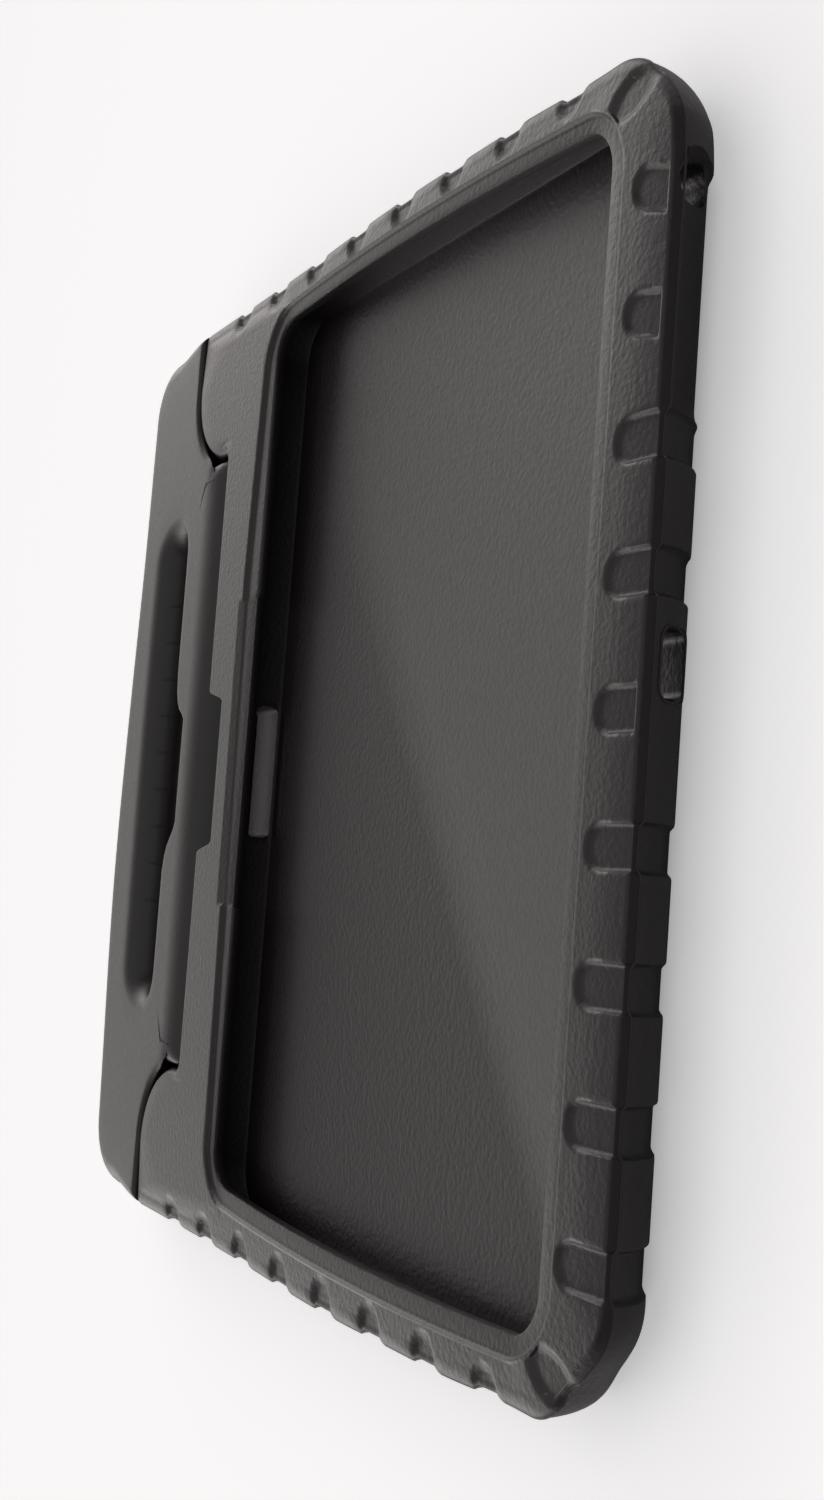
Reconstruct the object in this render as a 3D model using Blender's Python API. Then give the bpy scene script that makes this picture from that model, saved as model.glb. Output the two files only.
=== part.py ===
"""Foam tablet case for children, with a carrying handle that folds back as a stand.

The case lies on its back. X runs along its long side, Y points away from the handle
and Z out of the front. The origin is on the back face, under the centre of the recess.
Two moulded foam pieces, the case body and the handle, turn on two plastic pins.
"""

from math import cos, radians, sin, sqrt

import bmesh
import bpy
from mathutils import Matrix, Vector

MM = 0.001

# The recess and the foam around it.
RECESS_LENGTH = 243.6 * MM
RECESS_WIDTH = 176.6 * MM
RECESS_DEPTH = 8.4 * MM
RECESS_RADIUS = 12.0 * MM
BACK_PANEL = 5.6 * MM
LIP_THICKNESS = 4.0 * MM
SIDE_RIM = 8.8 * MM
NEAR_RIM = 19.1 * MM
FAR_PANEL = 25.5 * MM
CORNER_RADIUS = 25.0 * MM

# The front lip: its reach over the recess, and the lower ledge along it.
LIP_OVERHANG = 4.1 * MM
OPENING_RADIUS = 9.5 * MM
LEDGE_WIDTH = 5.5 * MM
LEDGE_DROP = 1.1 * MM

# The outer edge: a chamfer down to the parting line, then a rounded underside.
CHAMFER_WIDTH = 1.4 * MM
CHAMFER_DROP = 2.7 * MM
UNDER_NEAR = 20.9 * MM
UNDER_SIDE = 6.0 * MM

# Grip notches around the rim.
NOTCH_PITCH = 25.0 * MM
SIDE_NOTCH_PITCH = 25.6 * MM
NOTCH_WIDTH = 10.0 * MM
NOTCH_DEPTH = 1.8 * MM
NOTCH_DRAFT = 1.4 * MM
NOTCH_MARGIN = 2.2 * MM
SIDE_NOTCH_MARGIN = 0.6 * MM
NEAR_NOTCHES = 9
SIDE_NOTCHES = 8
FIRST_SIDE_NOTCH_Y = 66.6 * MM
CLOSED_NOTCHES = (-4, -3, 0)
CLOSED_NOTCH_STOP = 2.6 * MM
CORNER_NOTCH_LENGTH = 14.3 * MM
CORNER_NOTCH_LEAN = 27.0

# Cut-outs in the near wall: the button pocket with its end hole, and a small window.
POCKET_LEFT = -104.5 * MM
POCKET_RIGHT = -54.5 * MM
POCKET_DEPTH = 3.0 * MM
POCKET_TOP_DROP = 0.5 * MM
POCKET_RUNOUT = 1.0 * MM
BUTTON_HOLE_DIAMETER = 6.4 * MM
BUTTON_HOLE_INSET = 3.2 * MM
WINDOW_CENTRE_X = -9.5 * MM
WINDOW_WIDTH = 12.0 * MM
WINDOW_HEIGHT = 6.4 * MM
WINDOW_CORNER = 2.0 * MM

# Cut-outs on the far side: the wide one for a thumb, and the notch for a charging plug.
THUMB_CUT_WIDTH = 85.5 * MM
THUMB_CUT_CENTRE_X = -1.2 * MM
THUMB_CUT_REACH = 10.0 * MM
THUMB_CUT_DROP = 1.8 * MM
THUMB_CUT_SETBACK = 1.8 * MM
PLUG_CENTRE_X = 4.2 * MM
PLUG_NOTCH_WIDTH = 46.0 * MM
PLUG_NOTCH_DEPTH = 9.5 * MM
PLUG_NOTCH_SLANT = 3.0 * MM
PLUG_SLOT_WIDTH = 36.0 * MM
PLUG_SLOT_HEIGHT = 6.4 * MM

# The ears that carry the handle, and the pivot.
EAR_LENGTH = 29.0 * MM
EAR_WIDTH = 41.7 * MM
EAR_CORNER = 25.0 * MM
EAR_CORNER_RUN = 23.1 * MM
CHEEK_GAP = 0.6 * MM
SEAM_GAP = 0.3 * MM
SWING_GAP = 0.4 * MM
PIN_DIAMETER = 6.0 * MM
PIN_CLEARANCE = 0.3 * MM
PIN_REACH = 8.0 * MM

# The handle: a broad grip with round edges, a bar between the ears and a hand hole between them.
HANDLE_REACH = 78.8 * MM
HANDLE_BOW = 5.0 * MM
HANDLE_CORNER = 20.0 * MM
HANDLE_SIDE_STEP = 0.3 * MM
GRIP_ROUND = 8.3 * MM
GRIP_WIDTH = 31.5 * MM
BAR_WIDTH = 30.2 * MM
BAR_TOP_ROUND = 17.0 * MM
HOLE_END_WIDTH = 60.8 * MM
HOLE_CORNER_SHARE = 0.4916
HOLE_BAR_ROUND = 3.0 * MM
HOLE_END_ROUND = 6.0 * MM
RELIEF_WIDTH = 34.0 * MM
RELIEF_DEPTH = 8.0 * MM
RELIEF_CENTRE_X = 3.5 * MM
RELIEF_SLANT = 5.0 * MM

ARC_STEPS = 8
LEVEL_STEPS = 6
EDGE_POINTS = 7
RIM_STATIONS = 6
PIN_SIDES = 16
CUT_EXTRA = 3.0 * MM

# Sizes that follow from those above.
THICKNESS = BACK_PANEL + RECESS_DEPTH + LIP_THICKNESS
HALF_THICKNESS = THICKNESS / 2
RIDGE_Z = THICKNESS - CHAMFER_DROP
HALF_LENGTH = RECESS_LENGTH / 2 + SIDE_RIM
NEAR_Y = RECESS_WIDTH / 2 + NEAR_RIM
SEAM_Y = -RECESS_WIDTH / 2 - FAR_PANEL
BAR_SEAM_Y = SEAM_Y - SEAM_GAP
PIVOT_Y = BAR_SEAM_Y - HALF_THICKNESS
PIVOT_Z = HALF_THICKNESS
EAR_INNER_X = HALF_LENGTH - EAR_WIDTH
EAR_CORNER_X = EAR_INNER_X + EAR_CORNER_RUN
BAR_HALF = EAR_INNER_X - CHEEK_GAP
EAR_END_Y = SEAM_Y - EAR_LENGTH
OPENING_X = RECESS_LENGTH / 2 - LIP_OVERHANG
OPENING_Y = RECESS_WIDTH / 2 - LIP_OVERHANG
STEP_X = OPENING_X + LEDGE_WIDTH
STEP_Y = OPENING_Y + LEDGE_WIDTH
HANDLE_HALF = HALF_LENGTH - HANDLE_SIDE_STEP
HANDLE_OUTER_Y = SEAM_Y - HANDLE_REACH
BAR_HOLE_Y = BAR_SEAM_Y - BAR_WIDTH
HOLE_HALF = HANDLE_HALF - HOLE_END_WIDTH
HOLE_END_BOW = HANDLE_BOW * (HOLE_HALF / HANDLE_HALF) ** 2
HOLE_CORNER = HOLE_CORNER_SHARE * (BAR_HOLE_Y - HANDLE_OUTER_Y - HOLE_END_BOW - GRIP_WIDTH)
RECESS_MIDDLE_Z = BACK_PANEL + RECESS_DEPTH / 2


def arc(cx, cy, radius_x, radius_y, start, end, steps=ARC_STEPS):
    """Points on an elliptical arc, its angles in degrees."""
    points = []
    for i in range(steps + 1):
        angle = radians(start + (end - start) * i / steps)
        points.append((cx + radius_x * cos(angle), cy + radius_y * sin(angle)))
    return points


def rounded_rectangle(half_x, half_y, radius):
    """A rounded rectangle about the origin, counter-clockwise."""
    points = []
    for sx, sy, start in ((1, 1, 0), (-1, 1, 90), (-1, -1, 180), (1, -1, 270)):
        cx, cy = sx * (half_x - radius), sy * (half_y - radius)
        points += arc(cx, cy, radius, radius, start, start + 90)
    return points


def loft(name, loops, material=None):
    """A closed solid through loops that have equal numbers of points."""
    bm = bmesh.new()
    rings = [[bm.verts.new(point) for point in loop] for loop in loops]
    count = len(rings[0])
    for low, high in zip(rings, rings[1:]):
        for i in range(count):
            k = (i + 1) % count
            bm.faces.new((low[i], low[k], high[k], high[i]))
    bm.faces.new(list(reversed(rings[0])))
    bm.faces.new(rings[-1])
    bmesh.ops.connect_verts_nonplanar(bm, angle_limit=radians(0.05), faces=bm.faces)
    bmesh.ops.recalc_face_normals(bm, faces=bm.faces)
    if bm.calc_volume(signed=True) < 0:
        bmesh.ops.reverse_faces(bm, faces=bm.faces)
    mesh = bpy.data.meshes.new(name)
    bm.to_mesh(mesh)
    bm.free()
    obj = bpy.data.objects.new(name, mesh)
    bpy.context.scene.collection.objects.link(obj)
    if material:
        mesh.materials.append(material)
        mesh.shade_smooth()
        mesh.set_sharp_from_angle(angle=radians(35))
    return obj


def prism(name, outline, bottom, top):
    """An upright prism on a plan outline."""
    return loft(name, [[(x, y, z) for x, y in outline] for z in (bottom, top)])


def lying_prism(name, outline, start_y, end_y):
    """A prism along Y on an outline given by x and z."""
    return loft(name, [[(x, y, z) for x, z in outline] for y in (start_y, end_y)])


def cut(target, cutter):
    """Takes a cutter away from a solid, and hides the cutter."""
    modifier = target.modifiers.new(cutter.name, "BOOLEAN")
    modifier.operation = "DIFFERENCE"
    modifier.solver = "EXACT"
    modifier.object = cutter
    cutter.hide_render = True
    cutter.display_type = "WIRE"


def matt(name, colour, roughness):
    """A matt moulded foam or plastic."""
    material = bpy.data.materials.new(name)
    material.use_nodes = True
    shader = material.node_tree.nodes["Principled BSDF"]
    shader.inputs["Base Color"].default_value = (*colour, 1.0)
    shader.inputs["Roughness"].default_value = roughness
    return material


def under_inset(z, width):
    """How far the rounded underside lies inside the parting line at height z."""
    drop = (RIDGE_Z - z) / RIDGE_Z
    return width * (1 - sqrt(max(0.0, 1 - drop * drop)))


def body_levels():
    """The body's outline at each height. Its far end runs on past the ears."""
    heights = [RIDGE_Z * (1 - sin(radians(90 * i / LEVEL_STEPS))) for i in range(LEVEL_STEPS + 1)]
    heights = heights[::-1] + [THICKNESS]
    levels = []
    for z in heights:
        inset_x = CHAMFER_WIDTH if z > RIDGE_Z else under_inset(z, UNDER_SIDE)
        inset_y = CHAMFER_WIDTH if z > RIDGE_Z else under_inset(z, UNDER_NEAR)
        radius_x, radius_y = CORNER_RADIUS - inset_x, CORNER_RADIUS - inset_y
        corner_x, corner_y = HALF_LENGTH - CORNER_RADIUS, NEAR_Y - CORNER_RADIUS
        end_x = HALF_LENGTH - inset_x
        outline = arc(corner_x, corner_y, radius_x, radius_y, 0, 90)
        outline += arc(-corner_x, corner_y, radius_x, radius_y, 90, 180)
        outline += [(-end_x, HANDLE_OUTER_Y), (end_x, HANDLE_OUTER_Y)]
        levels.append([(x, y, z) for x, y in outline])
    return levels


def swing_heights():
    """Heights across the thickness, closer together near the front and the back."""
    steps = range(-LEVEL_STEPS, LEVEL_STEPS + 1)
    return [PIVOT_Z + HALF_THICKNESS * sin(radians(90 * step / LEVEL_STEPS)) for step in steps]


def ear_edge(z, gap):
    """The right ear's end at height z, from outside to inside, round about the pivot.
    A gap gives the handle's side of it, which also clears the ear's corner when folded back."""
    plan = [(HALF_LENGTH + CUT_EXTRA, EAR_END_Y)]
    for i in range(ARC_STEPS + 1):
        x = EAR_CORNER_X - (EAR_CORNER_X - EAR_INNER_X) * sin(radians(90 * i / ARC_STEPS))
        across = EAR_CORNER_X - x
        plan.append((x, EAR_END_Y + EAR_CORNER - sqrt(EAR_CORNER ** 2 - across ** 2)))
    edge = []
    for x, y in plan:
        reach = PIVOT_Y - y
        radius = sqrt(reach * reach + HALF_THICKNESS * HALF_THICKNESS) + gap
        height = z - PIVOT_Z
        reach = sqrt(radius * radius - height * height)
        if gap and height < 0:
            reach = max(reach, HALF_THICKNESS + gap)
        edge.append((x - gap, PIVOT_Y - reach))
    return edge


def with_ends(levels):
    """Adds a level above and one below, so that a cutter passes both faces."""
    lowest = [(x, y, -CUT_EXTRA) for x, y, z in levels[0]]
    highest = [(x, y, THICKNESS + CUT_EXTRA) for x, y, z in levels[-1]]
    return [lowest] + levels + [highest]


def handle_room():
    """The space that the body leaves for the handle."""
    levels = []
    far = HALF_LENGTH + CUT_EXTRA
    for z in swing_heights():
        right = ear_edge(z, 0.0)
        right.append((EAR_INNER_X, SEAM_Y))
        outline = [(-far, HANDLE_OUTER_Y - CUT_EXTRA), (far, HANDLE_OUTER_Y - CUT_EXTRA)] + right
        outline += [(-x, y) for x, y in reversed(right)]
        levels.append([(x, y, z) for x, y in outline])
    return loft("handle_room", with_ends(levels))


def ear_room(side):
    """The space that the handle leaves for an ear."""
    levels = []
    above = SEAM_Y + CUT_EXTRA
    for z in swing_heights():
        edge = ear_edge(z, SWING_GAP)
        edge[0] = (HALF_LENGTH + CUT_EXTRA, edge[0][1])
        edge[-1] = (BAR_HALF, edge[-1][1])
        outline = edge + [(BAR_HALF, above), (HALF_LENGTH + CUT_EXTRA, above)]
        levels.append([(side * x, y, z) for x, y in outline])
    return loft(f"ear_room_{side}", with_ends(levels))


def rim_path(width, first, last):
    """Stations (inset, z, outward direction, depth share) over the rim and the underside."""
    path = []
    for i in range(RIM_STATIONS):
        inset = first + (last - first) * (i / (RIM_STATIONS - 1)) ** 1.6
        path.append((inset, THICKNESS, Vector((0.0, 1.0)), 1.0))
    if last > CHAMFER_WIDTH:
        return path
    path[-1] = (0.7 * CHAMFER_WIDTH, THICKNESS - 0.1 * CHAMFER_DROP, Vector((-0.45, 0.89)), 1.0)
    path.append((0.02 * width, 0.94 * RIDGE_Z, Vector((-1.0, 0.0)), 1.0))
    for i in range(1, LEVEL_STEPS):
        angle = radians(90 * (i + 0.5) / LEVEL_STEPS)
        slope = Vector((-cos(angle) / width, -sin(angle) / RIDGE_Z)).normalized()
        share = 1.0 - (i / LEVEL_STEPS) ** 3
        path.append((width * (1 - cos(angle)), RIDGE_Z * (1 - sin(angle)), slope, share))
    return path


def notch_cutter(name, place, path):
    """A drafted trough with a rounded inner end that follows a path over the rim."""
    radius = NOTCH_WIDTH / 2
    first = path[0][0]
    loops = []
    for inset, z, out, share in path:
        travel = radius
        if z > THICKNESS - MM and inset > CHAMFER_WIDTH:
            travel = min(radius, first - inset)
        half = sqrt(max(0.03 * radius ** 2, radius ** 2 - (radius - travel) ** 2))
        floor = max(half - NOTCH_DRAFT, 0.2 * half)
        wide = half + (half - floor) * CUT_EXTRA / NOTCH_DEPTH
        depth = NOTCH_DEPTH * share
        loop = []
        for along, rise in ((-wide, CUT_EXTRA), (wide, CUT_EXTRA), (floor, -depth), (-floor, -depth)):
            loop.append(place(inset + out.x * rise, along, z + out.y * rise))
        loops.append(loop)
    return loft(name, loops)


def near_place(centre_x):
    """Places inset, distance along the rim and height on the near side."""
    return lambda inset, along, z: (centre_x + along, NEAR_Y - inset, z)


def side_place(side, centre_y):
    """The same on a short side: side is 1 on the right and -1 on the left."""
    return lambda inset, along, z: (side * (HALF_LENGTH - inset), centre_y + along, z)


def corner_place(side):
    """The same at a near corner, from its diagonal point and leaning to the near side."""
    reach = CORNER_RADIUS * sqrt(0.5)
    start_x = HALF_LENGTH - CORNER_RADIUS + reach
    start_y = NEAR_Y - CORNER_RADIUS + reach
    turn = radians(45 + CORNER_NOTCH_LEAN)
    out_x, out_y = cos(turn), sin(turn)

    def place(inset, along, z):
        x = start_x - inset * out_x - along * out_y
        return (side * x, start_y - inset * out_y + along * out_x, z)
    return place


def notch_cutters():
    """The grip notches: a row on each side and one on each near corner."""
    cutters = []
    near_first = NEAR_Y - STEP_Y - NOTCH_MARGIN
    side_first = HALF_LENGTH - STEP_X - SIDE_NOTCH_MARGIN
    reach = NEAR_NOTCHES // 2
    for k in range(-reach, reach + 1):
        last = CLOSED_NOTCH_STOP if k in CLOSED_NOTCHES else CHAMFER_WIDTH
        path = rim_path(UNDER_NEAR, near_first, last)
        cutters.append(notch_cutter(f"near_notch_{k}", near_place(k * NOTCH_PITCH), path))
    for side in (-1, 1):
        for k in range(SIDE_NOTCHES):
            place = side_place(side, FIRST_SIDE_NOTCH_Y - k * SIDE_NOTCH_PITCH)
            path = rim_path(UNDER_SIDE, side_first, CHAMFER_WIDTH)
            cutters.append(notch_cutter(f"side_notch_{side}_{k}", place, path))
        path = rim_path((UNDER_SIDE + UNDER_NEAR) / 2, CORNER_NOTCH_LENGTH, CHAMFER_WIDTH)
        cutters.append(notch_cutter(f"corner_notch_{side}", corner_place(side), path))
    return cutters


def pocket_cutter():
    """The shallow pocket in the near wall, from the parting line to the back."""
    top = RIDGE_Z - POCKET_TOP_DROP
    bottom = -CUT_EXTRA
    centre_y = NEAR_Y - UNDER_NEAR
    outer_y = NEAR_Y + CUT_EXTRA
    ends = ((POCKET_LEFT - POCKET_RUNOUT, -POCKET_RUNOUT), (POCKET_LEFT + POCKET_DEPTH, POCKET_DEPTH),
            (POCKET_RIGHT - POCKET_DEPTH, POCKET_DEPTH), (POCKET_RIGHT + POCKET_RUNOUT, -POCKET_RUNOUT))
    loops = []
    for x, depth in ends:
        floor = arc(centre_y, top, UNDER_NEAR - depth, top - bottom, 0, -90)
        section = [(outer_y, bottom), (outer_y, top)] + floor
        loops.append([(x, y, z) for y, z in section])
    return loft("pocket_cutter", loops)


def port_cutters():
    """Openings from the outside through the foam into the recess."""
    wall_y = RECESS_WIDTH / 2 - CUT_EXTRA
    radius = BUTTON_HOLE_DIAMETER / 2
    hole_x = POCKET_LEFT + BUTTON_HOLE_INSET + radius
    hole = arc(hole_x, RECESS_MIDDLE_Z, radius, radius, 0, 330, 11)
    window = rounded_rectangle(WINDOW_WIDTH / 2, WINDOW_HEIGHT / 2, WINDOW_CORNER)
    window = [(x + WINDOW_CENTRE_X, z + RECESS_MIDDLE_Z) for x, z in window]
    slot = rounded_rectangle(PLUG_SLOT_WIDTH / 2, PLUG_SLOT_HEIGHT / 2, WINDOW_CORNER)
    slot = [(x + PLUG_CENTRE_X, z + RECESS_MIDDLE_Z) for x, z in slot]
    return [
        lying_prism("button_hole_cutter", hole, wall_y, NEAR_Y + CUT_EXTRA),
        lying_prism("window_cutter", window, wall_y, NEAR_Y + CUT_EXTRA),
        lying_prism("plug_slot_cutter", slot, SEAM_Y - CUT_EXTRA, -wall_y),
    ]


def plug_notch_cutter():
    """The notch in the panel's edge, right through the thickness."""
    half = PLUG_NOTCH_WIDTH / 2 - PLUG_NOTCH_SLANT
    wide = half + PLUG_NOTCH_SLANT * (1 + CUT_EXTRA / PLUG_NOTCH_DEPTH)
    inner_y = SEAM_Y + PLUG_NOTCH_DEPTH
    outer_y = SEAM_Y - CUT_EXTRA
    outline = [(PLUG_CENTRE_X - wide, outer_y), (PLUG_CENTRE_X + wide, outer_y),
               (PLUG_CENTRE_X + half, inner_y), (PLUG_CENTRE_X - half, inner_y)]
    return prism("plug_notch_cutter", outline, -CUT_EXTRA, THICKNESS + CUT_EXTRA)


def thumb_cutters():
    """The wide cut in the lip for a thumb: its edge set back, and a slope down to it."""
    left = THUMB_CUT_CENTRE_X - THUMB_CUT_WIDTH / 2
    right = THUMB_CUT_CENTRE_X + THUMB_CUT_WIDTH / 2
    edge_y = -OPENING_Y - THUMB_CUT_SETBACK
    inner_y = -OPENING_Y + CUT_EXTRA
    top = THICKNESS + CUT_EXTRA
    fall = THUMB_CUT_DROP / (THUMB_CUT_REACH - THUMB_CUT_SETBACK)
    low = THICKNESS - THUMB_CUT_DROP - fall * (inner_y - edge_y)
    slope = [(inner_y - (top - low) / fall, top), (inner_y, low), (inner_y, top)]
    setback = [(left + THUMB_CUT_SETBACK, edge_y), (right - THUMB_CUT_SETBACK, edge_y),
               (right + CUT_EXTRA, inner_y), (left - CUT_EXTRA, inner_y)]
    return [
        prism("thumb_setback_cutter", setback, THICKNESS - LIP_THICKNESS - CUT_EXTRA, top),
        loft("thumb_slope_cutter", [[(x, y, z) for y, z in slope] for x in (left, right)]),
    ]


def round_bar(name, side, diameter, start_x, end_x, material=None):
    """A round bar on the pivot, from one distance along X to another."""
    radius = diameter / 2
    ring = arc(PIVOT_Y, PIVOT_Z, radius, radius, 0, 360 - 360 / PIN_SIDES, PIN_SIDES - 1)
    return loft(name, [[(side * x, y, z) for y, z in ring] for x in (start_x, end_x)], material)


def bore_pivot(target):
    """Blind bores for the pins, a little longer than the pins reach."""
    bore = PIN_DIAMETER + 2 * PIN_CLEARANCE
    start = BAR_HALF - PIN_REACH - PIN_CLEARANCE
    end = EAR_INNER_X + PIN_REACH + PIN_CLEARANCE
    for side in (-1, 1):
        cut(target, round_bar(f"{target.name}_bore_{side}", side, bore, start, end))


def case_body(material):
    """The moulded body: rim, lip, recess, ears, notches and cut-outs."""
    body = loft("case_body", body_levels(), material)
    recess_top = THICKNESS - LIP_THICKNESS
    above = THICKNESS + CUT_EXTRA
    recess = rounded_rectangle(RECESS_LENGTH / 2, RECESS_WIDTH / 2, RECESS_RADIUS)
    opening = rounded_rectangle(OPENING_X, OPENING_Y, OPENING_RADIUS)
    ledge = rounded_rectangle(STEP_X, STEP_Y, OPENING_RADIUS + LEDGE_WIDTH)
    cut(body, handle_room())
    cut(body, prism("recess_cutter", recess, BACK_PANEL, recess_top))
    cut(body, prism("opening_cutter", opening, recess_top - CUT_EXTRA, above))
    cut(body, prism("ledge_cutter", ledge, THICKNESS - LEDGE_DROP, above))
    cut(body, plug_notch_cutter())
    cut(body, pocket_cutter())
    for cutter in thumb_cutters() + port_cutters() + notch_cutters():
        cut(body, cutter)
    bore_pivot(body)
    return body


def bowed_y(x):
    """Y of the handle's outer edge, which bows out gently in the middle."""
    return HANDLE_OUTER_Y + HANDLE_BOW * (x / HANDLE_HALF) ** 2


def even_steps(half, count):
    """Values from -half to half without the two ends."""
    return [-half + 2 * half * i / (count + 1) for i in range(1, count + 1)]


def handle_levels():
    """The handle's outside at each height, before the ears and the hole are cut."""
    levels = []
    corner_x = HANDLE_HALF - HANDLE_CORNER
    corner_y = bowed_y(corner_x) + HANDLE_CORNER
    for z in swing_heights():
        rise = (z - PIVOT_Z) / HALF_THICKNESS
        share = 1 - sqrt(max(0.0, 1 - rise * rise))
        inset = GRIP_ROUND * share
        seam = BAR_SEAM_Y - (BAR_TOP_ROUND if rise > 0 else HALF_THICKNESS) * share
        radius = HANDLE_CORNER - inset
        outline = arc(-corner_x, corner_y, radius, radius, 180, 270)
        outline += [(x, bowed_y(x) + inset) for x in even_steps(corner_x, EDGE_POINTS)]
        outline += arc(corner_x, corner_y, radius, radius, 270, 360)
        outline += [(HANDLE_HALF - inset, seam), (inset - HANDLE_HALF, seam)]
        levels.append([(x, y, z) for x, y in outline])
    return levels


def edge_round(rise, radius):
    """Widening of the hole where its edge is rounded near the front and the back."""
    past = abs(rise) * HALF_THICKNESS - (HALF_THICKNESS - radius)
    if past <= 0:
        return 0.0
    return radius - sqrt(max(0.0, radius * radius - past * past))


def hand_hole():
    """The hand hole: tight at its bar, round at its grip."""
    corner_x = HOLE_HALF - HOLE_CORNER
    relief_left = RELIEF_CENTRE_X - RELIEF_WIDTH / 2
    relief_right = RELIEF_CENTRE_X + RELIEF_WIDTH / 2
    levels = []
    for z in swing_heights():
        rise = (z - PIVOT_Z) / HALF_THICKNESS
        grip = GRIP_ROUND * (1 - sqrt(max(0.0, 1 - rise * rise)))
        wide = HOLE_CORNER + edge_round(rise, HOLE_END_ROUND)
        bar = edge_round(rise, HOLE_BAR_ROUND)
        bar_y = BAR_HOLE_Y + bar
        grip_y = bowed_y(corner_x) + GRIP_WIDTH + HOLE_CORNER
        outline = arc(corner_x, BAR_HOLE_Y - HOLE_CORNER, wide, HOLE_CORNER + bar, 0, 90)
        outline += [(relief_right + RELIEF_SLANT, bar_y), (relief_right, bar_y + RELIEF_DEPTH),
                    (relief_left, bar_y + RELIEF_DEPTH), (relief_left - RELIEF_SLANT, bar_y)]
        outline += arc(-corner_x, BAR_HOLE_Y - HOLE_CORNER, wide, HOLE_CORNER + bar, 90, 180)
        outline += arc(-corner_x, grip_y, wide, HOLE_CORNER + grip, 180, 270)
        outline += [(x, bowed_y(x) + GRIP_WIDTH - grip) for x in even_steps(corner_x, EDGE_POINTS)]
        outline += arc(corner_x, grip_y, wide, HOLE_CORNER + grip, 270, 360)
        levels.append([(x, y, z) for x, y in outline])
    return loft("hand_hole", with_ends(levels))


def handle(material):
    """The moulded handle, with its origin on the pivot."""
    piece = loft("handle", handle_levels(), material)
    for side in (-1, 1):
        cut(piece, ear_room(side))
    cut(piece, hand_hole())
    bore_pivot(piece)
    piece.data.transform(Matrix.Translation((0.0, -PIVOT_Y, -PIVOT_Z)))
    piece.location = (0.0, PIVOT_Y, PIVOT_Z)


def hinge_pins(material):
    """A plastic pin through each cheek, half in the ear and half in the bar."""
    for side, word in ((-1, "left"), (1, "right")):
        start, end = BAR_HALF - PIN_REACH, EAR_INNER_X + PIN_REACH
        round_bar(f"hinge_pin_{word}", side, PIN_DIAMETER, start, end, material)


def main():
    for obj in list(bpy.data.objects):
        bpy.data.objects.remove(obj)
    case_body(matt("black_foam_body", (0.020, 0.019, 0.019), 0.6))
    handle(matt("black_foam_handle", (0.021, 0.020, 0.020), 0.6))
    hinge_pins(matt("black_nylon_pins", (0.030, 0.030, 0.032), 0.4))


main()
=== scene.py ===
from math import cos, radians, sin, sqrt

import bmesh
import bpy
import numpy as np
from mathutils import Matrix, Vector


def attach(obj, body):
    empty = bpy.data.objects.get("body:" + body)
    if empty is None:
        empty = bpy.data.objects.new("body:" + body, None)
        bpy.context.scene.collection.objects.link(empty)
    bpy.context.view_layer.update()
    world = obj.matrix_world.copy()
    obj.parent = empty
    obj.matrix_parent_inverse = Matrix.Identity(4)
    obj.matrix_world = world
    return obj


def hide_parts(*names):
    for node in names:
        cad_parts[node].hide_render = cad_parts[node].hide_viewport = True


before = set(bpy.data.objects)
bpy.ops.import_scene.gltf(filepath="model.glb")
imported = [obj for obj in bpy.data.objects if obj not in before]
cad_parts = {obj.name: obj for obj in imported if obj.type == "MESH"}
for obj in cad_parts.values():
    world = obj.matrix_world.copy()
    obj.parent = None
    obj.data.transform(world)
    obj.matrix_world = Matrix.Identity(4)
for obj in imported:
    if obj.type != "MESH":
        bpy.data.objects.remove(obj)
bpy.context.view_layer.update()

# All lengths in this script are millimetres, in the part's own frame.
THICK = 18.0
MID_Z = THICK / 2
FLOOR_Z = 5.6
LIP_Z = 14.0
LEDGE_Z = 16.9
RIDGE_Z = 15.3

# Half sizes and corner radii of the outlines round the recess.
HALF_X, NEAR_Y, CORNER = 130.6, 107.4, 25.0
STEP = (123.2, 89.7, 15.0)
OPENING = (117.7, 84.2, 9.5)
RECESS = (121.8, 88.3, 12.0)
STRAIGHT_X = 105.6
STRAIGHT_Y = 74.7

# Ears, seam and pivot.
SEAM_Y = -113.8
PIVOT_Y = -123.1
EAR_IN = 88.9
EAR_END = -142.8
EAR_TURN_X = 112.0
EAR_TURN_R = 25.0
EAR_EASE = 0.9
EAR_SOFT = 2.4
EAR_BLEND_Z = 12.0

# Width of the rounded underside along the near side and the short sides, the round above the
# ridge on the short sides, and the chamfer and the edge's radius above the ridge on the near side.
UNDER_NEAR = 20.9
UNDER_SIDE = 6.0
SIDE_ROUND = 4.0
CHAMFER, EDGE_R = 1.2, 0.7

# Grip notches. The near ones are numbered -4 to 4 from the left. The two at the left lean to the
# right at the outline, and the closed ones stop short of the outline.
NEAR_PITCH, NEAR_SHIFT = 25.0, -1.0
NEAR_NUMBERS = range(-4, 5)
NEAR_LEAN = {-4: 5.0, -3: 3.0}
LEAN_HOLD, LEAN_FADE = 6.0, 6.5
CLOSED = (-4, -3, 0)
CLOSED_STOP, CLOSED_SOFT = 2.1, 0.9
NEAR_HALF, NEAR_NOSE, NEAR_SOFT = 4.95, 5.5, 1.3
NEAR_RISE = 0.5
NEAR_TIP, NEAR_TIP_GROWTH = 15.0, 0.4
SIDE_PITCH, SIDE_FIRST = 25.6, 66.6
SIDE_NOTCH_YS = [SIDE_FIRST - SIDE_PITCH * k for k in range(8)]
SIDE_HALF, SIDE_TIP, SIDE_SOFT = 6.2, 8.0, 3.0
SIDE_SHARE = 0.75
CORNER_HALF, CORNER_TIP, CORNER_NOSE = 5.3, 18.5, 9.25
CORNER_LEAN = radians(70.0)
CORNER_SHARE, CORNER_FLAT = 0.65, 0.55
NOTCH_DEEP = 1.5

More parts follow.
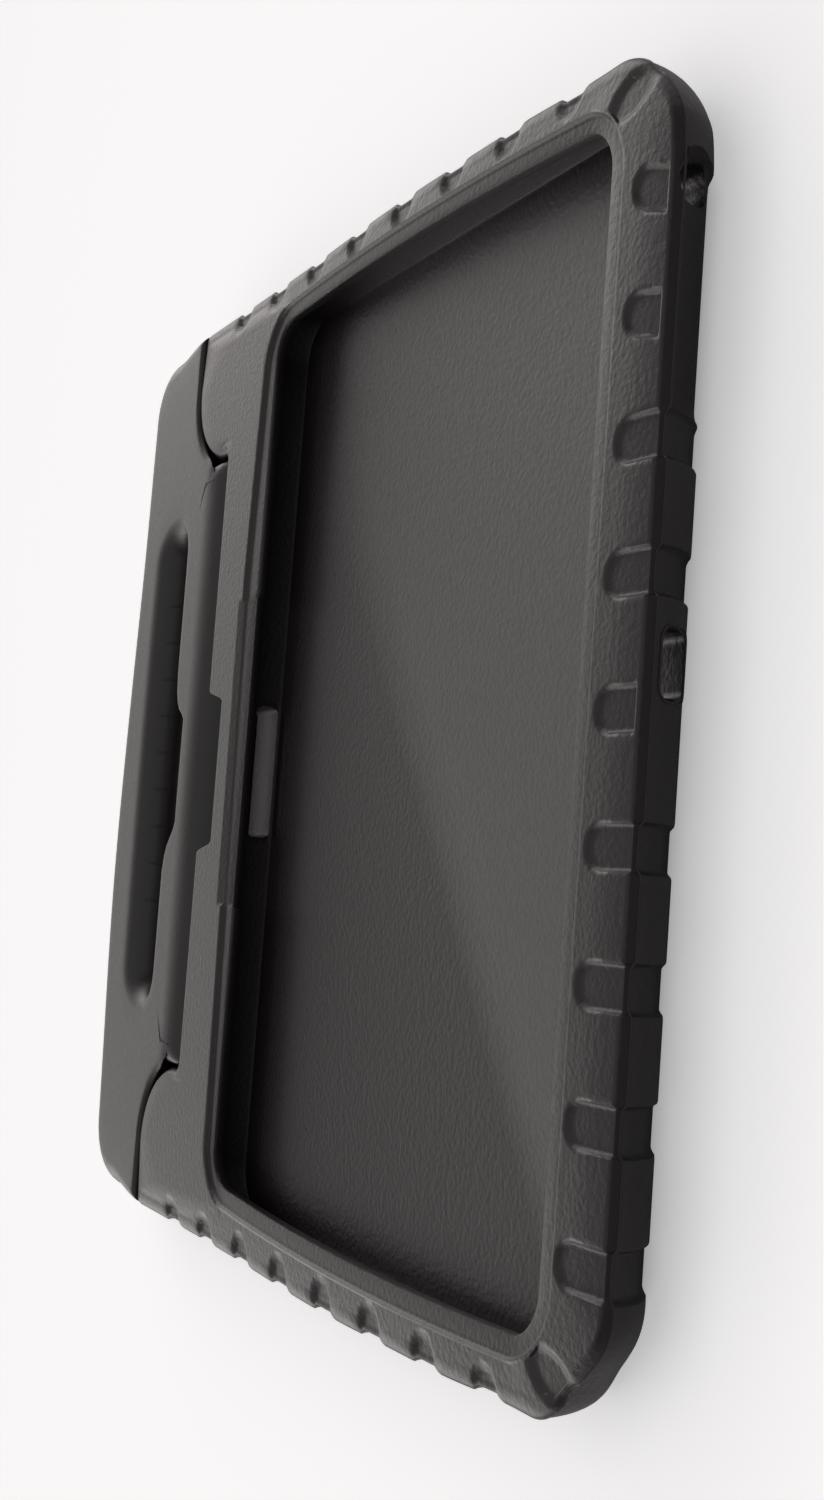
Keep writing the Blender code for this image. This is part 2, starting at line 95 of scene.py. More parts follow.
# Where each kind of notch can be: near ones beyond a Y, the others beyond an X on their side of a Y.
NEAR_ZONE_Y = 60.0
SIDE_ZONE_X, CORNER_ZONE_X, CORNER_ZONE_Y = 100.0, 108.0, 74.0

# How far each corner is trimmed inside its arc. The short sides bulge about a middle, over a
# reach, and draw in towards the near corners from a Y on.
CORNER_TRIM = {-1: 0.05, 1: 0.125}
SIDE_BULGE, BULGE_Y, BULGE_REACH = 1.3, -15.0, 45.0
SIDE_DRAW, DRAW_FROM, DRAW_REACH = 1.5, 40.0, 40.0
BULGE_FROM_X, BULGE_RISE_X = 95.0, 28.0

# The lips of the short sides, left (-1) and right (1): how far they come in at the opening, what
# the step adds, what the ends add, the middle of the bow and its reach. Then the far step's drift.
LIP_BOW = {-1: (-2.4, 1.7, 2.6, -12.0, 80.0), 1: (0.1, 1.1, 2.2, 10.0, 75.0)}
LIP_FROM_X, LIP_RISE_X = 100.0, 15.0
DRIFT_XS, DRIFTS = (-109.0, -49.0, 45.0, 101.0), (0.4, -2.5, -0.6, 1.2)

# How far the front face falls towards its edge, and over what width.
CROWN_NEAR, CROWN_SIDE, CROWN_EAR = (0.6, 10.0), (1.0, 20.0), (0.35, 7.0)

# The wide thumb cut in the far lip, and the plug notch.
THUMB = (-43.6, 42.1)
THUMB_TOP_Y, THUMB_SKEW, THUMB_LOW_Y, THUMB_DROP = -94.7, 0.016, -86.0, 1.8
THUMB_SOFT, THUMB_WALL = 1.8, 2.2
PLUG = (-18.8, 27.2)
PLUG_DEEP, PLUG_SLANT = 10.5, 3.2
SEAM_END_R = 3.0

# The handle. A bulge and a hollow are a depth, a middle in X and a reach.
HANDLE_X = 130.3
HANDLE_Y = -192.6
HANDLE_BOW = 5.0
HANDLE_R = 20.0
HANDLE_BULGE = (2.0, 38.0, 45.0)
HANDLE_HOLLOW = (1.6, -68.0, 40.0)
HANDLE_GAP = 0.35
SHOULDER_R, SHOULDER_BACK_R = 5.0, 1.2
SHOULDER_FADE = 0.5
CHEEK_FREE = 3.0
GRIP = 31.5
GRIP_ROUND = 8.3
GRIP_INNER = 11.5
GRIP_X = 95.0
BAR_X = 88.3
BAR_SEAM = -114.1
BAR_HOLE = -144.3
BAR_TOP_ROUND = 17.0
BAR_FLAT_X = BAR_X - 6.0
HOLE_X = 69.5
HOLE_R = 7.56
HOLE_FLAT_X = HOLE_X - HOLE_R
HOLE_END_ROUND = 6.0
HOLE_BAR_ROUND = 3.2
RELIEF_DEEP = 8.0
RELIEF_XS = (-26.0, -21.0, -17.5, -15.5, -13.5, -12.0, 18.5, 20.5, 23.0, 25.5, 28.5, 33.0)
RELIEF_SHARES = (0.0, 0.08, 0.22, 0.42, 0.80, 1.0, 1.0, 0.88, 0.58, 0.30, 0.12, 0.0)

# The openings through the walls: centre and half sizes in X and Z, and the corners' radius. The
# pocket beside them runs from a left end to a right one and has its own depth at each station.
WINDOW_X, WINDOW_Z = -9.5, FLOOR_Z + 4.2
BUTTON_HOLE = (-99.6, WINDOW_Z - 0.2, 3.9, 4.0, 3.8)
SIDE_WINDOW = (WINDOW_X, WINDOW_Z, 6.0, 3.2, 2.0)
WINDOW_FRAME = (WINDOW_X, WINDOW_Z, 7.0, 4.2, 2.6)
PLUG_SLOT = (4.2, WINDOW_Z, 18.0, 3.2, 2.0)
POCKET_LEFT, POCKET_RIGHT, POCKET_TOP, POCKET_DEEP = -104.5, -54.5, 14.9, 3.3

# The beads and ribs that stand out of the skin.
BEAD_SIDES = 8
PARTING_R, FRAME_R, RIB_R = 0.22, 0.3, 0.35
RIB_COUNT, RIB_FIRST, RIB_PITCH = 9, -49.3, 11.43
RIB_HEIGHTS = (11.5, 15.0)
BEAD_STEP = 0.8

# The studio: strengths of the room's walls, of the floor's painted glow for each kind of ray and of
# the lamp.
BACK_HEIGHTS = (0.42, 0.68)
BACK_LOW, BACK_HIGH = 1.1, 0.25
SIDE_GLOW, FRONT_GLOW = 1.4, 0.2
FLOOR_GLOW, FLOOR_PAINTED_GLOW_FAR = 0.45, 0.6
OVERHEAD_WATTS, OVERHEAD_SIZE = 6.0, 2.2
WHITE = (1.0, 1.0, 1.0, 1.0)
ROOM_TINT = (1.0, 0.95, 0.945, 1.0)
FLOOR_SEEN, FLOOR_REFLECTED = (0.95, 0.95, 0.95, 1.0), (0.9, 0.9, 0.9, 1.0)
FLOOR_SIZE = 8.0

# The photograph's view: place in millimetres, directions, lens in millimetres and frame shift.
CAMERA_PLACE = (35.658, 378.841, 197.526)
CAMERA_RIGHT = (-0.07213, 0.44997, -0.89013)
CAMERA_AHEAD = (-0.07808, -0.89226, -0.44472)
CAMERA_DOWN = (0.99433, -0.03743, -0.09950)
CAMERA_LENS, CAMERA_SHIFT = 44.0, (0.0003, 0.0027)


def smooth(value):
    """Smooth step from 0 to 1."""
    value = np.clip(value, 0.0, 1.0)
    return value * value * (3.0 - 2.0 * value)


def spaced(marks, start, end, step):
    """Sorted stations from start to end: the marks, with gaps filled to about one step."""
    inside = sorted({round(m, 4) for m in marks if start < m < end} | {start, end})
    out = []
    for low, high in zip(inside, inside[1:]):
        count = max(1, int(round((high - low) / step)))
        out += [low + (high - low) * i / count for i in range(count)]
    return np.array(out + [end])


def notch_marks(centres):
    """Stations that follow each notch's two sloping walls."""
    walls = (0.0, 0.9, 1.7, 2.4, 3.0, 3.5, 3.9, 4.3, 4.7, 5.2, 6.0)
    return [c + side * w for c in centres for w in walls for side in (-1, 1)]


def along(points, shares):
    """Points at these shares of the way along an open line."""
    points = np.array(points, float)
    steps = np.linalg.norm(np.diff(points, axis=0), axis=1)
    reach = np.concatenate([[0.0], np.cumsum(steps)])
    want = np.asarray(shares) * reach[-1]
    return np.stack([np.interp(want, reach, points[:, k]) for k in (0, 1)], axis=1)


def arc(cx, cy, rx, ry, start, end, steps=24):
    """Points on an elliptical arc between two angles in degrees."""
    angles = np.radians(np.linspace(start, end, steps + 1))
    return np.stack([cx + rx * np.cos(angles), cy + ry * np.sin(angles)], axis=1)


# Stations on the body, from the near side's left half round to the seam's middle.
NEAR_CENTRES = [NEAR_PITCH * k + NEAR_SHIFT for k in NEAR_NUMBERS]
NEAR_XS = -spaced(notch_marks([-x for x in NEAR_CENTRES]), -STRAIGHT_X, STRAIGHT_X, 4.0)
CORNER_S = np.linspace(0.0, 1.0, 57)[1:]
SIDE_YS = -spaced(notch_marks([-y for y in SIDE_NOTCH_YS]), -STRAIGHT_Y, STRAIGHT_Y, 4.0)[1:]
EAR_SIDE_SPAN = -STRAIGHT_Y - EAR_END
EAR_SIDE_S = (spaced(notch_marks([-y for y in SIDE_NOTCH_YS]), STRAIGHT_Y, -EAR_END, 3.0)[1:]
              - STRAIGHT_Y) / EAR_SIDE_SPAN
EAR_END_S = np.linspace(0.0, 1.0, 9)[1:]
EAR_ARC_S = np.linspace(0.0, 1.0, 19)[1:]
CHEEK_S = np.linspace(0.0, 1.0, 7)[1:]
EAR_SHARES = (0.42, 0.60, 0.80, 1.0)
SEAM_MARKS = [p + d for p in PLUG for d in (-3.2, -2.4, -1.6, -0.8, 0.0, 0.8, 1.6, 2.4, 3.2)]
SEAM_MARKS += [h + d for h in THUMB for d in (-1.8, -1.2, -0.6, 0.0, 0.6, 1.2, 1.8, 2.6)]
SEAM_MARKS += [side * (EAR_IN - d) for d in (0.3, 0.8, 1.5, 2.2, 3.0, 4.5) for side in (-1, 1)]
SEAM_XS = spaced(SEAM_MARKS, -EAR_IN, EAR_IN, 5.0)[1:-1]


def around(near, left, seam, right):
    """One closed loop: near side, left side, seam, and the right side, given as if it were left."""
    return np.concatenate([near, left, seam, right[::-1] * np.array([-1.0, 1.0])])


def inner_loop(half_x, half_y, radius):
    """A rounded rectangle round the recess, sampled at the body's stations."""
    near = np.stack([NEAR_XS, np.full(len(NEAR_XS), half_y)], axis=1)
    corner_x, corner_y = half_x - radius, half_y - radius
    corner = np.concatenate([[(-STRAIGHT_X, half_y)],
                             arc(-corner_x, corner_y, radius, radius, 90, 180),
                             [(-half_x, STRAIGHT_Y)]])
    side = np.stack([np.full(len(SIDE_YS), -half_x), SIDE_YS], axis=1)
    far = np.concatenate([[(-half_x, -STRAIGHT_Y)],
                          arc(-corner_x, -corner_y, radius, radius, 180, 270),
                          [(-EAR_IN, -half_y)]])
    shares = []
    low = 0.0
    for part, high in zip((EAR_SIDE_S, EAR_END_S, EAR_ARC_S, CHEEK_S), EAR_SHARES):
        shares.append(low + (high - low) * part)
        low = high
    left = np.concatenate([along(corner, CORNER_S), side, along(far, np.concatenate(shares))])
    seam = np.stack([SEAM_XS, np.full(len(SEAM_XS), -half_y)], axis=1)
    return around(near, left, seam, left)


def ease(z, radius):
    """Inset of a plain upright face where its top and bottom edges are rounded."""
    past = max(0.0, radius - min(z, THICK - z)) / radius
    return radius * (1.0 - sqrt(max(0.0, 1.0 - past * past)))


def swing(y_top, z, grow=0.0):
    """Y of the round about the pivot that meets the front face at y_top."""
    reach = PIVOT_Y - np.asarray(y_top, float)
    radius = np.sqrt(reach * reach + MID_Z * MID_Z) + grow
    return PIVOT_Y - np.sqrt(np.maximum(radius * radius - (z - MID_Z) ** 2, 0.0))


def seam_y(x, z=THICK):
    """The body's edge along the seam, which turns into the ears' cheeks by a small round. The
    round stays in front of the pivot, because the folded bar comes to lie against the rest."""
    past = np.clip((np.abs(x) - (EAR_IN - SEAM_END_R)) / SEAM_END_R, 0.0, 1.0)
    return SEAM_Y - SEAM_END_R * (1.0 - np.sqrt(1.0 - past * past)) * smooth((z - MID_Z) / 4.0)


def ear_low(x):
    """Y at which the round about the pivot meets the front, at x across the case."""
    across = np.clip(EAR_TURN_X - np.abs(x), 0.0, EAR_TURN_X - EAR_IN)
    return EAR_END + EAR_TURN_R - np.sqrt(EAR_TURN_R ** 2 - across ** 2)


def ear_blend(low, high, z, grow, lean):
    """Y of the ear's end at height z: the round about the pivot, which becomes high in front."""
    low = swing(low, z, np.maximum(0.0, -grow)) + np.maximum(0.0, grow) * (1.0 - 0.6 * lean)
    return low + (high - low) * smooth((z - EAR_BLEND_Z) / (THICK - EAR_BLEND_Z))


def end_line(z, grow):
    """Y of the straight part of the ear's end at height z, moved by grow."""
    grow = grow * (1.0 - SHOULDER_FADE)
    return float(ear_blend(EAR_END, EAR_END + grow, z, grow, 0.0))


def ear_line(z, grow):
    """The left ear's end at height z, from its turn to the cheek. grow moves it into the ear, or
    out of it where it is below zero. The front edge follows a quarter of a round, and the rest
    the round about the pivot, which the handle's shoulder needs in order to fold."""
    lean = np.sin(np.pi / 2 * EAR_ARC_S)
    level = np.cos(np.pi / 2 * EAR_ARC_S)
    across = (EAR_TURN_X - EAR_IN) * lean
    grow = grow * (1.0 - SHOULDER_FADE * level)
    round_r = EAR_TURN_X - EAR_IN
    high = EAR_END + round_r - round_r * level + grow * level
    ends = ear_blend(ear_low(EAR_TURN_X - across), high, z, grow, lean)
    return np.stack([-(EAR_TURN_X - across + grow * lean), ends], axis=1)


def plug_depth(x):
    """How deep the plug notch goes into the panel at x."""
    return PLUG_DEEP * smooth((x - PLUG[0]) / PLUG_SLANT) * smooth((PLUG[1] - x) / PLUG_SLANT)


def rim_inset(z, width):
    """Inset of the outer wall at height z: chamfer above the ridge, ellipse below it."""
    if z >= RIDGE_Z:
        rise = (z - RIDGE_Z) / (THICK - RIDGE_Z)
        edge = max(0.0, (z - THICK + EDGE_R) / EDGE_R)
        return CHAMFER * rise + EDGE_R * (1.0 - sqrt(max(0.0, 1.0 - edge * edge)))
    drop = (RIDGE_Z - z) / RIDGE_Z
    return width * (1.0 - sqrt(max(0.0, 1.0 - drop * drop)))


def lean_shift(x):
    """How far the near side's stations lean to the right at the outline, with their notches."""
    out = np.zeros(len(x))
    for number, lean in NEAR_LEAN.items():
        away = np.abs(x - (NEAR_PITCH * number + NEAR_SHIFT))
        out += lean * (1.0 - smooth((away - LEAN_HOLD) / LEAN_FADE))
    return out


def bulge(points):
    """The short sides bulge a little about their middle and draw in towards the near corners."""
    x, y = points[:, 0], points[:, 1]
    out = SIDE_BULGE * np.exp(-((y - BULGE_Y) / BULGE_REACH) ** 2)
    out -= SIDE_DRAW * smooth((y - DRAW_FROM) / DRAW_REACH)
    moved = points.copy()
    moved[:, 0] += np.sign(x) * out * smooth((np.abs(x) - BULGE_FROM_X) / BULGE_RISE_X)
    return moved


def side_inset(z):
    """Inset of a short side's wall at height z: a soft round above the ridge, an ellipse below."""
    if z < RIDGE_Z:
        return rim_inset(z, UNDER_SIDE)
    rise = min(1.0, (z - RIDGE_Z) / (THICK - RIDGE_Z))
    return SIDE_ROUND * (1.0 - sqrt(1.0 - rise * rise))


def corner_line(ix, iy, trim):
    """A near corner's outline, with its arc trimmed towards the middle of its turn."""
    angles = np.radians(np.linspace(90, 180, 41))
    share = 1.0 - trim * np.sin(2 * angles) ** 2
    turn = np.stack([CORNER - HALF_X + (CORNER - ix) * share * np.cos(angles),
                     NEAR_Y - CORNER + (CORNER - iy) * share * np.sin(angles)], axis=1)
    return np.concatenate([turn, [(ix - HALF_X, STRAIGHT_Y)]])


def outer_side(z, side):
    """One short side's outline with its corner and ear, given as if it were the left one."""
    ix, iy = side_inset(z), rim_inset(z, UNDER_NEAR)
    trim = ease(z, EAR_SOFT if z > MID_Z else EAR_EASE)
    corner = corner_line(ix, iy, CORNER_TRIM[side])
    plan = corner_line(0.0, 0.0, CORNER_TRIM[side])
    steps = np.linalg.norm(np.diff(plan, axis=0), axis=1)
    reach = np.concatenate([[0.0], np.cumsum(steps)]) / steps.sum()
    corner = np.stack([np.interp(CORNER_S, reach, corner[:, k]) for k in (0, 1)], axis=1)
    flat = np.stack([np.full(len(SIDE_YS), ix - HALF_X), SIDE_YS], axis=1)
    end_y = end_line(z, trim)
    ear_side = np.stack([np.full(len(EAR_SIDE_S), ix - HALF_X),
                         -STRAIGHT_Y + (end_y + STRAIGHT_Y) * EAR_SIDE_S], axis=1)
    end_x = (HALF_X - ix) + (EAR_TURN_X - HALF_X + ix) * EAR_END_S
    ear_end = np.stack([-end_x, np.full(len(end_x), end_y)], axis=1)
    ear_arc = ear_line(z, trim)
    low_y = ear_arc[-1, 1]
    cheek = np.stack([np.full(len(CHEEK_S), -(EAR_IN + trim)),
                      low_y + (seam_y(-EAR_IN, z) + trim - low_y) * CHEEK_S], axis=1)
    return np.concatenate([corner, flat, ear_side, ear_end, ear_arc, cheek])


def outer_loop(z):
    """The body's outside at height z, sampled at its stations."""
    iy = rim_inset(z, UNDER_NEAR)
    near = np.stack([NEAR_XS, np.full(len(NEAR_XS), NEAR_Y - iy)], axis=1)
    seam = np.stack([SEAM_XS, seam_y(SEAM_XS, z) + plug_depth(SEAM_XS) + ease(z, EAR_EASE)], axis=1)
    loop = around(near, outer_side(z, -1), seam, outer_side(z, 1))
    loop[:, 0] += lean_shift(loop[:, 0]) * (loop[:, 1] > 80.0)
    return bulge(loop)


def dent(across, inward, half, tip, nose, soft):
    """Depth share of one notch: flat floor, walls of one width and an elliptical inner end.
    soft is the walls' width."""
    u, v = across / half, np.maximum(inward - (tip - nose), 0.0) / nose
    r = np.hypot(u, v)
    steepness = np.maximum(np.hypot(u / half, v / nose), 1e-6)
    return smooth((1.0 - r) * r / steepness / soft + np.where(r < 0.3, 1.0, 0.0))


def notch_field(x, y, wall):
    """Depth of the grip notches at points of the rim, as shares of the full depth.
    wall is 1 on the outer wall below the ridge, where a notch runs straight down."""
    depth = np.zeros(len(x))
    far_in = np.where(wall > 0, 0.0, NEAR_Y - y)
    run = NEAR_Y - STEP[1]
    for number in NEAR_NUMBERS:
        tip = NEAR_TIP + NEAR_TIP_GROWTH * number
        lean = NEAR_LEAN.get(number, 0.0) * (1.0 - np.clip(far_in / run, 0.0, 1.0))
        centre = NEAR_PITCH * number + NEAR_SHIFT + lean
        one = dent(x - centre, far_in, NEAR_HALF, tip, NEAR_NOSE, NEAR_SOFT)
        one *= 1.0 - NEAR_RISE * np.clip(far_in / tip, 0.0, 1.0) ** 1.5
        if number in CLOSED:
            one = one * np.where(wall > 0, 0.0, smooth((far_in - CLOSED_STOP) / CLOSED_SOFT))
        depth = np.maximum(depth, np.where(y > NEAR_ZONE_Y, one, 0.0))
    side_in = np.where(wall > 0, 0.0, HALF_X - np.abs(x))
    for cy in SIDE_NOTCH_YS:
        one = SIDE_SHARE * dent(y - cy, side_in, SIDE_HALF, SIDE_TIP, SIDE_TIP, SIDE_SOFT)
        beside = (np.abs(x) > SIDE_ZONE_X) & (y < CORNER_ZONE_Y)
        depth = np.maximum(depth, np.where(beside, one, 0.0))
    start = np.array([HALF_X - CORNER, NEAR_Y - CORNER]) + (CORNER - 0.5) * sqrt(0.5)
    out = np.array([cos(CORNER_LEAN), sin(CORNER_LEAN)])
    qx, qy = np.abs(x) - start[0], y - start[1]
    inward = -(qx * out[0] + qy * out[1])
    across = qy * out[0] - qx * out[1]
    past = np.maximum(np.abs(inward - CORNER_TIP / 2) - (CORNER_TIP / 2 - CORNER_NOSE), 0.0)
    r = np.hypot(across / CORNER_HALF, past / CORNER_NOSE)
    floor = 1.0 - smooth((r - CORNER_FLAT) / (1.0 - CORNER_FLAT))
    one = np.where(wall > 0, 0.0, CORNER_SHARE * floor)
    in_corner = (np.abs(x) > CORNER_ZONE_X) & (y > CORNER_ZONE_Y)
    return np.maximum(depth, np.where(in_corner, one, 0.0))


def thumb_top(x):
    """Y at which the thumb cut meets the front face."""
    return THUMB_TOP_Y + THUMB_SKEW * x


def thumb_height(x, y):
    """Height of the sloping thumb cut."""
    top = thumb_top(x)
    slope = THICK - THUMB_DROP * np.minimum((y - top) / (THUMB_LOW_Y - top), 1.0)
    outside = np.maximum(THUMB[0] - x, x - THUMB[1])
    return slope + THUMB_WALL * smooth((outside + 1.2) / THUMB_SOFT)


def thumb_share(x):
    """1 within the thumb cut, and 0 outside it."""
    return smooth((x - THUMB[0] + 0.6) / THUMB_SOFT) * smooth((THUMB[1] - x + 0.6) / THUMB_SOFT)


def lip_shift(points, is_step):
    """The lips of the short sides bow inwards, and the far step drifts away from its line.
    is_step is 0 at the opening's edge and 1 at the step."""
    x, y = points[:, 0], points[:, 1]
    move = np.zeros(len(x))
    for side, (at_opening, at_step, at_ends, middle, reach) in LIP_BOW.items():
        inward = at_opening + at_step * is_step + at_ends * ((y - middle) / reach) ** 2
        move -= side * inward * smooth((side * x - LIP_FROM_X) / LIP_RISE_X)
    drift = is_step * np.interp(x, DRIFT_XS, DRIFTS)
    return np.stack([move, drift * smooth((-y - 60.0) / 20.0)], axis=1)


def station_crown():
    """The front face's fall towards the edge and its width, for each of the body's stations."""
    out = []
    for k in range(2):
        near, side, ear = CROWN_NEAR[k], CROWN_SIDE[k], CROWN_EAR[k]
        left = np.concatenate([near + (side - near) * CORNER_S, np.full(len(SIDE_YS), side),
                               np.full(len(EAR_SIDE_S), side), side + (ear - side) * EAR_END_S,
                               np.full(len(EAR_ARC_S), ear), ear * (1.0 - CHEEK_S * (1 - k))])
        out.append(np.concatenate([np.full(len(NEAR_XS), near), left,
                                   np.full(len(SEAM_XS), ear * k), left[::-1]]))
    return out


OUTER_LEVELS = [18.0, 17.97, 17.9, 17.78, 17.6, 17.3, 16.9, 16.4, 15.9, 15.5, 15.3, 15.1, 14.7]
UNDER_ANGLES = (7, 12, 18, 25, 33, 42, 52, 62, 72, 82, 87, 90)
OUTER_LEVELS += [RIDGE_Z * (1 - sin(radians(a))) for a in UNDER_ANGLES]
LAND_RINGS = 34
THUMB_RINGS = 5

# Where the notches turn from the wall into the front face, and where they fade out underneath.
TURN_FROM_Z, TURN_SHARE = 16.4, 0.97
NOTCH_FADE, NOTCH_FADE_RUN = 0.62, 0.36

# Rings at the recess, the opening and the step: growth of the outline and of its radius, height.
RECESS_RINGS = ((-1.2, -1.2, FLOOR_Z), (-0.35, -0.35, FLOOR_Z + 0.3), (0, 0, FLOOR_Z + 1.2),
                (0, 0, LIP_Z - 0.4), (-0.4, 0, LIP_Z))
OPENING_RINGS = ((0.6, 0.6, LIP_Z), (0.15, 0.15, LIP_Z + 0.15), (0, 0, LIP_Z + 0.6),
                 (0, 0, LEDGE_Z - 0.9), (0.1, 0, LEDGE_Z - 0.45), (0.35, 0.3, LEDGE_Z - 0.12),
                 (0.8, 0.7, LEDGE_Z))
STEP_RINGS = ((-1.3, -1.3, LEDGE_Z), (-0.6, -0.6, LEDGE_Z + 0.04), (-0.15, -0.15, LEDGE_Z + 0.25),
              (0.1, 0.1, THICK - 0.42), (0.4, 0.4, THICK - 0.15), (0.9, 0.9, THICK))


def below_thumb(loop, height):
    """Heights with the sloping thumb cut taken off at the far side."""
    return np.minimum(height, np.where(loop[:, 1] < 0, thumb_height(loop[:, 0], loop[:, 1]), THICK))


def inner_rings():
    """Loops from the recess floor up its wall, over the lip and the step to the front face."""
    rings = []
    for outline, growths in ((RECESS, RECESS_RINGS), (OPENING, OPENING_RINGS), (STEP, STEP_RINGS)):
        for grow, grow_radius, z in growths:
            half_x, half_y = outline[0] + grow, outline[1] + grow
            loop = inner_loop(half_x, half_y, outline[2] + grow_radius)
            if outline is not RECESS:
                is_step = np.clip((half_x - OPENING[0]) / (STEP[0] - OPENING[0]), 0.0, 1.0)
                loop = loop + lip_shift(loop, is_step)
            if outline is OPENING:
                set_back = np.minimum(loop[:, 1], THUMB_LOW_Y - grow)
                share = thumb_share(loop[:, 0]) * (loop[:, 1] < -half_y + 0.01)
                loop[:, 1] += (set_back - loop[:, 1]) * share
            height = np.full(len(loop), float(z))
            if z > LIP_Z + 0.7:
                height = below_thumb(loop, height)
            rings.append(np.column_stack([loop, height]))
    return rings


def land_rings(first, rim, crown, crown_run):
    """Loops over the front face, from the step's edge to the rim, with the notches in it. The
    crease of the thumb cut has a loop of its own."""
    span = np.linalg.norm(rim - first, axis=1)
    on_seam = (np.abs(first[:, 0]) <= EAR_IN + 0.01) & (first[:, 1] < 0)
    even_crease = THUMB_RINGS / (LAND_RINGS + 1)
    crease = np.where(on_seam, np.abs(thumb_top(first[:, 0]) - first[:, 1]) / span, even_crease)
    rings = []
    for k in range(1, LAND_RINGS + 1):
        if k <= THUMB_RINGS:
            share = crease * k / THUMB_RINGS
        else:
            share = crease + (1 - crease) * (k - THUMB_RINGS) / (LAND_RINGS + 1 - THUMB_RINGS)
        share = np.where(on_seam, share, k / (LAND_RINGS + 1))[:, None]
        loop = first + (rim - first) * share
        field = notch_field(loop[:, 0], loop[:, 1], np.zeros(len(loop)))
        from_edge = np.linalg.norm(rim - loop, axis=1)
        fall = crown * np.maximum(1.0 - from_edge / crown_run, 0.0) ** 2
        rings.append(np.column_stack([loop, below_thumb(loop, THICK - NOTCH_DEEP * field - fall)]))
    return rings


def wall_ring(z, crown):
    """The outer wall's loop at height z, sunk into the body where a notch runs down the wall."""
    loop = outer_loop(z)
    ahead = np.roll(loop, -1, axis=0) - np.roll(loop, 1, axis=0)
    normal = np.stack([ahead[:, 1], -ahead[:, 0]], axis=1)
    normal /= np.maximum(np.linalg.norm(normal, axis=1), 1e-9)[:, None]
    if z > RIDGE_Z:
        lift = smooth((z - TURN_FROM_Z) / (THICK - TURN_FROM_Z)) * TURN_SHARE
        flat = np.full(len(loop), sqrt(1 - lift * lift))
        tilt = np.full(len(loop), lift)
        share = 1.0
    else:
        wide = UNDER_SIDE + (UNDER_NEAR - UNDER_SIDE) * np.clip(normal[:, 1], 0, 1) ** 2
        drop = (RIDGE_Z - z) / RIDGE_Z
        flat = sqrt(max(0.0, 1 - drop * drop)) / wide
        tilt = np.full(len(loop), -drop / RIDGE_Z)
        size = np.hypot(flat, tilt)
        flat, tilt = flat / size, tilt / size
        share = 1.0 - smooth((drop - NOTCH_FADE) / NOTCH_FADE_RUN)
    field = notch_field(loop[:, 0], loop[:, 1], np.full(len(loop), float(z < RIDGE_Z)))
    on_rim = loop[:, 1] > EAR_END + 6.0
    on_rim &= (np.abs(loop[:, 0]) > HALF_X - 12.0) | (loop[:, 1] > NEAR_ZONE_Y)
    deep = NOTCH_DEEP * np.where(on_rim, field, 0.0) * share
    moved = loop - normal * (deep * flat)[:, None]
    sunk = crown * max(0.0, (z - RIDGE_Z) / (THICK - RIDGE_Z))
    return np.column_stack([moved, z - sunk - deep * tilt])


def body_rings():
    """Every loop of the body's skin, from the recess floor over the rim to the back."""
    crown, crown_run = station_crown()
    rings = inner_rings()
    first = rings[-1][:, :2]
    rim = outer_loop(THICK)
    span = np.linalg.norm(rim - first, axis=1)
    rings[-1][:, 2] -= crown * np.maximum(1.0 - span / crown_run, 0.0) ** 2
    return (rings + land_rings(first, rim, crown, crown_run)
            + [wall_ring(z, crown) for z in OUTER_LEVELS])


def skin(name, rings, closed=False):
    """A mesh through the loops. Open ends are filled flat; a closed one joins end to start."""
    count, size = len(rings), len(rings[0])
    verts = np.concatenate(rings) * 0.001
    faces = []
    for r in range(count if closed else count - 1):
        a, b = r * size, ((r + 1) % count) * size
        for i in range(size):
            k = (i + 1) % size
            faces.append((a + i, a + k, b + k, b + i))
    if not closed:
        faces.append(tuple(range(size - 1, -1, -1)))
        faces.append(tuple((count - 1) * size + i for i in range(size)))
    mesh = bpy.data.meshes.new(name)
    mesh.from_pydata(verts.tolist(), [], faces)
    mesh.update()
    obj = bpy.data.objects.new(name, mesh)
    bpy.context.scene.collection.objects.link(obj)
    return obj


def tidy_mesh(obj, angle=40.0):
    """Merges doubled points, turns the faces outwards and shades them smooth."""
    bm = bmesh.new()
    bm.from_mesh(obj.data)
    bmesh.ops.remove_doubles(bm, verts=bm.verts, dist=1e-6)
    bmesh.ops.recalc_face_normals(bm, faces=bm.faces)
    if bm.calc_volume(signed=True) < 0:
        bmesh.ops.reverse_faces(bm, faces=bm.faces)
    bm.to_mesh(obj.data)
    bm.free()
    obj.data.shade_smooth()
    obj.data.set_sharp_from_angle(angle=radians(angle))


def carve(obj, cutters):
    """Takes the cutters away from a piece, and removes them."""
    for cutter in cutters:
        modifier = obj.modifiers.new(cutter.name, "BOOLEAN")
        modifier.operation = "DIFFERENCE"
        modifier.solver = "EXACT"
        modifier.object = cutter
        cutter.hide_render = True
    graph = bpy.context.evaluated_depsgraph_get()
    mesh = bpy.data.meshes.new_from_object(obj.evaluated_get(graph))
    obj.modifiers.clear()
    old = obj.data
    obj.data = mesh
    mesh.name = obj.name
    bpy.data.meshes.remove(old)
    for cutter in cutters:
        bpy.data.objects.remove(cutter)


def cutter_along_y(name, outline, stations):
    """A cutter whose x, z outline is widened by its own amount at each y."""
    centre = np.mean(outline, axis=0)
    rings = []
    for y, grow in stations:
        ring = []
        for x, z in outline:
            away = np.array([x, z]) - centre
            x2, z2 = np.array([x, z]) + away / np.linalg.norm(away) * grow
            ring.append((x2, y, z2))
        rings.append(np.array(ring))
    cutter = skin(name, rings)
    tidy_mesh(cutter)
    return cutter


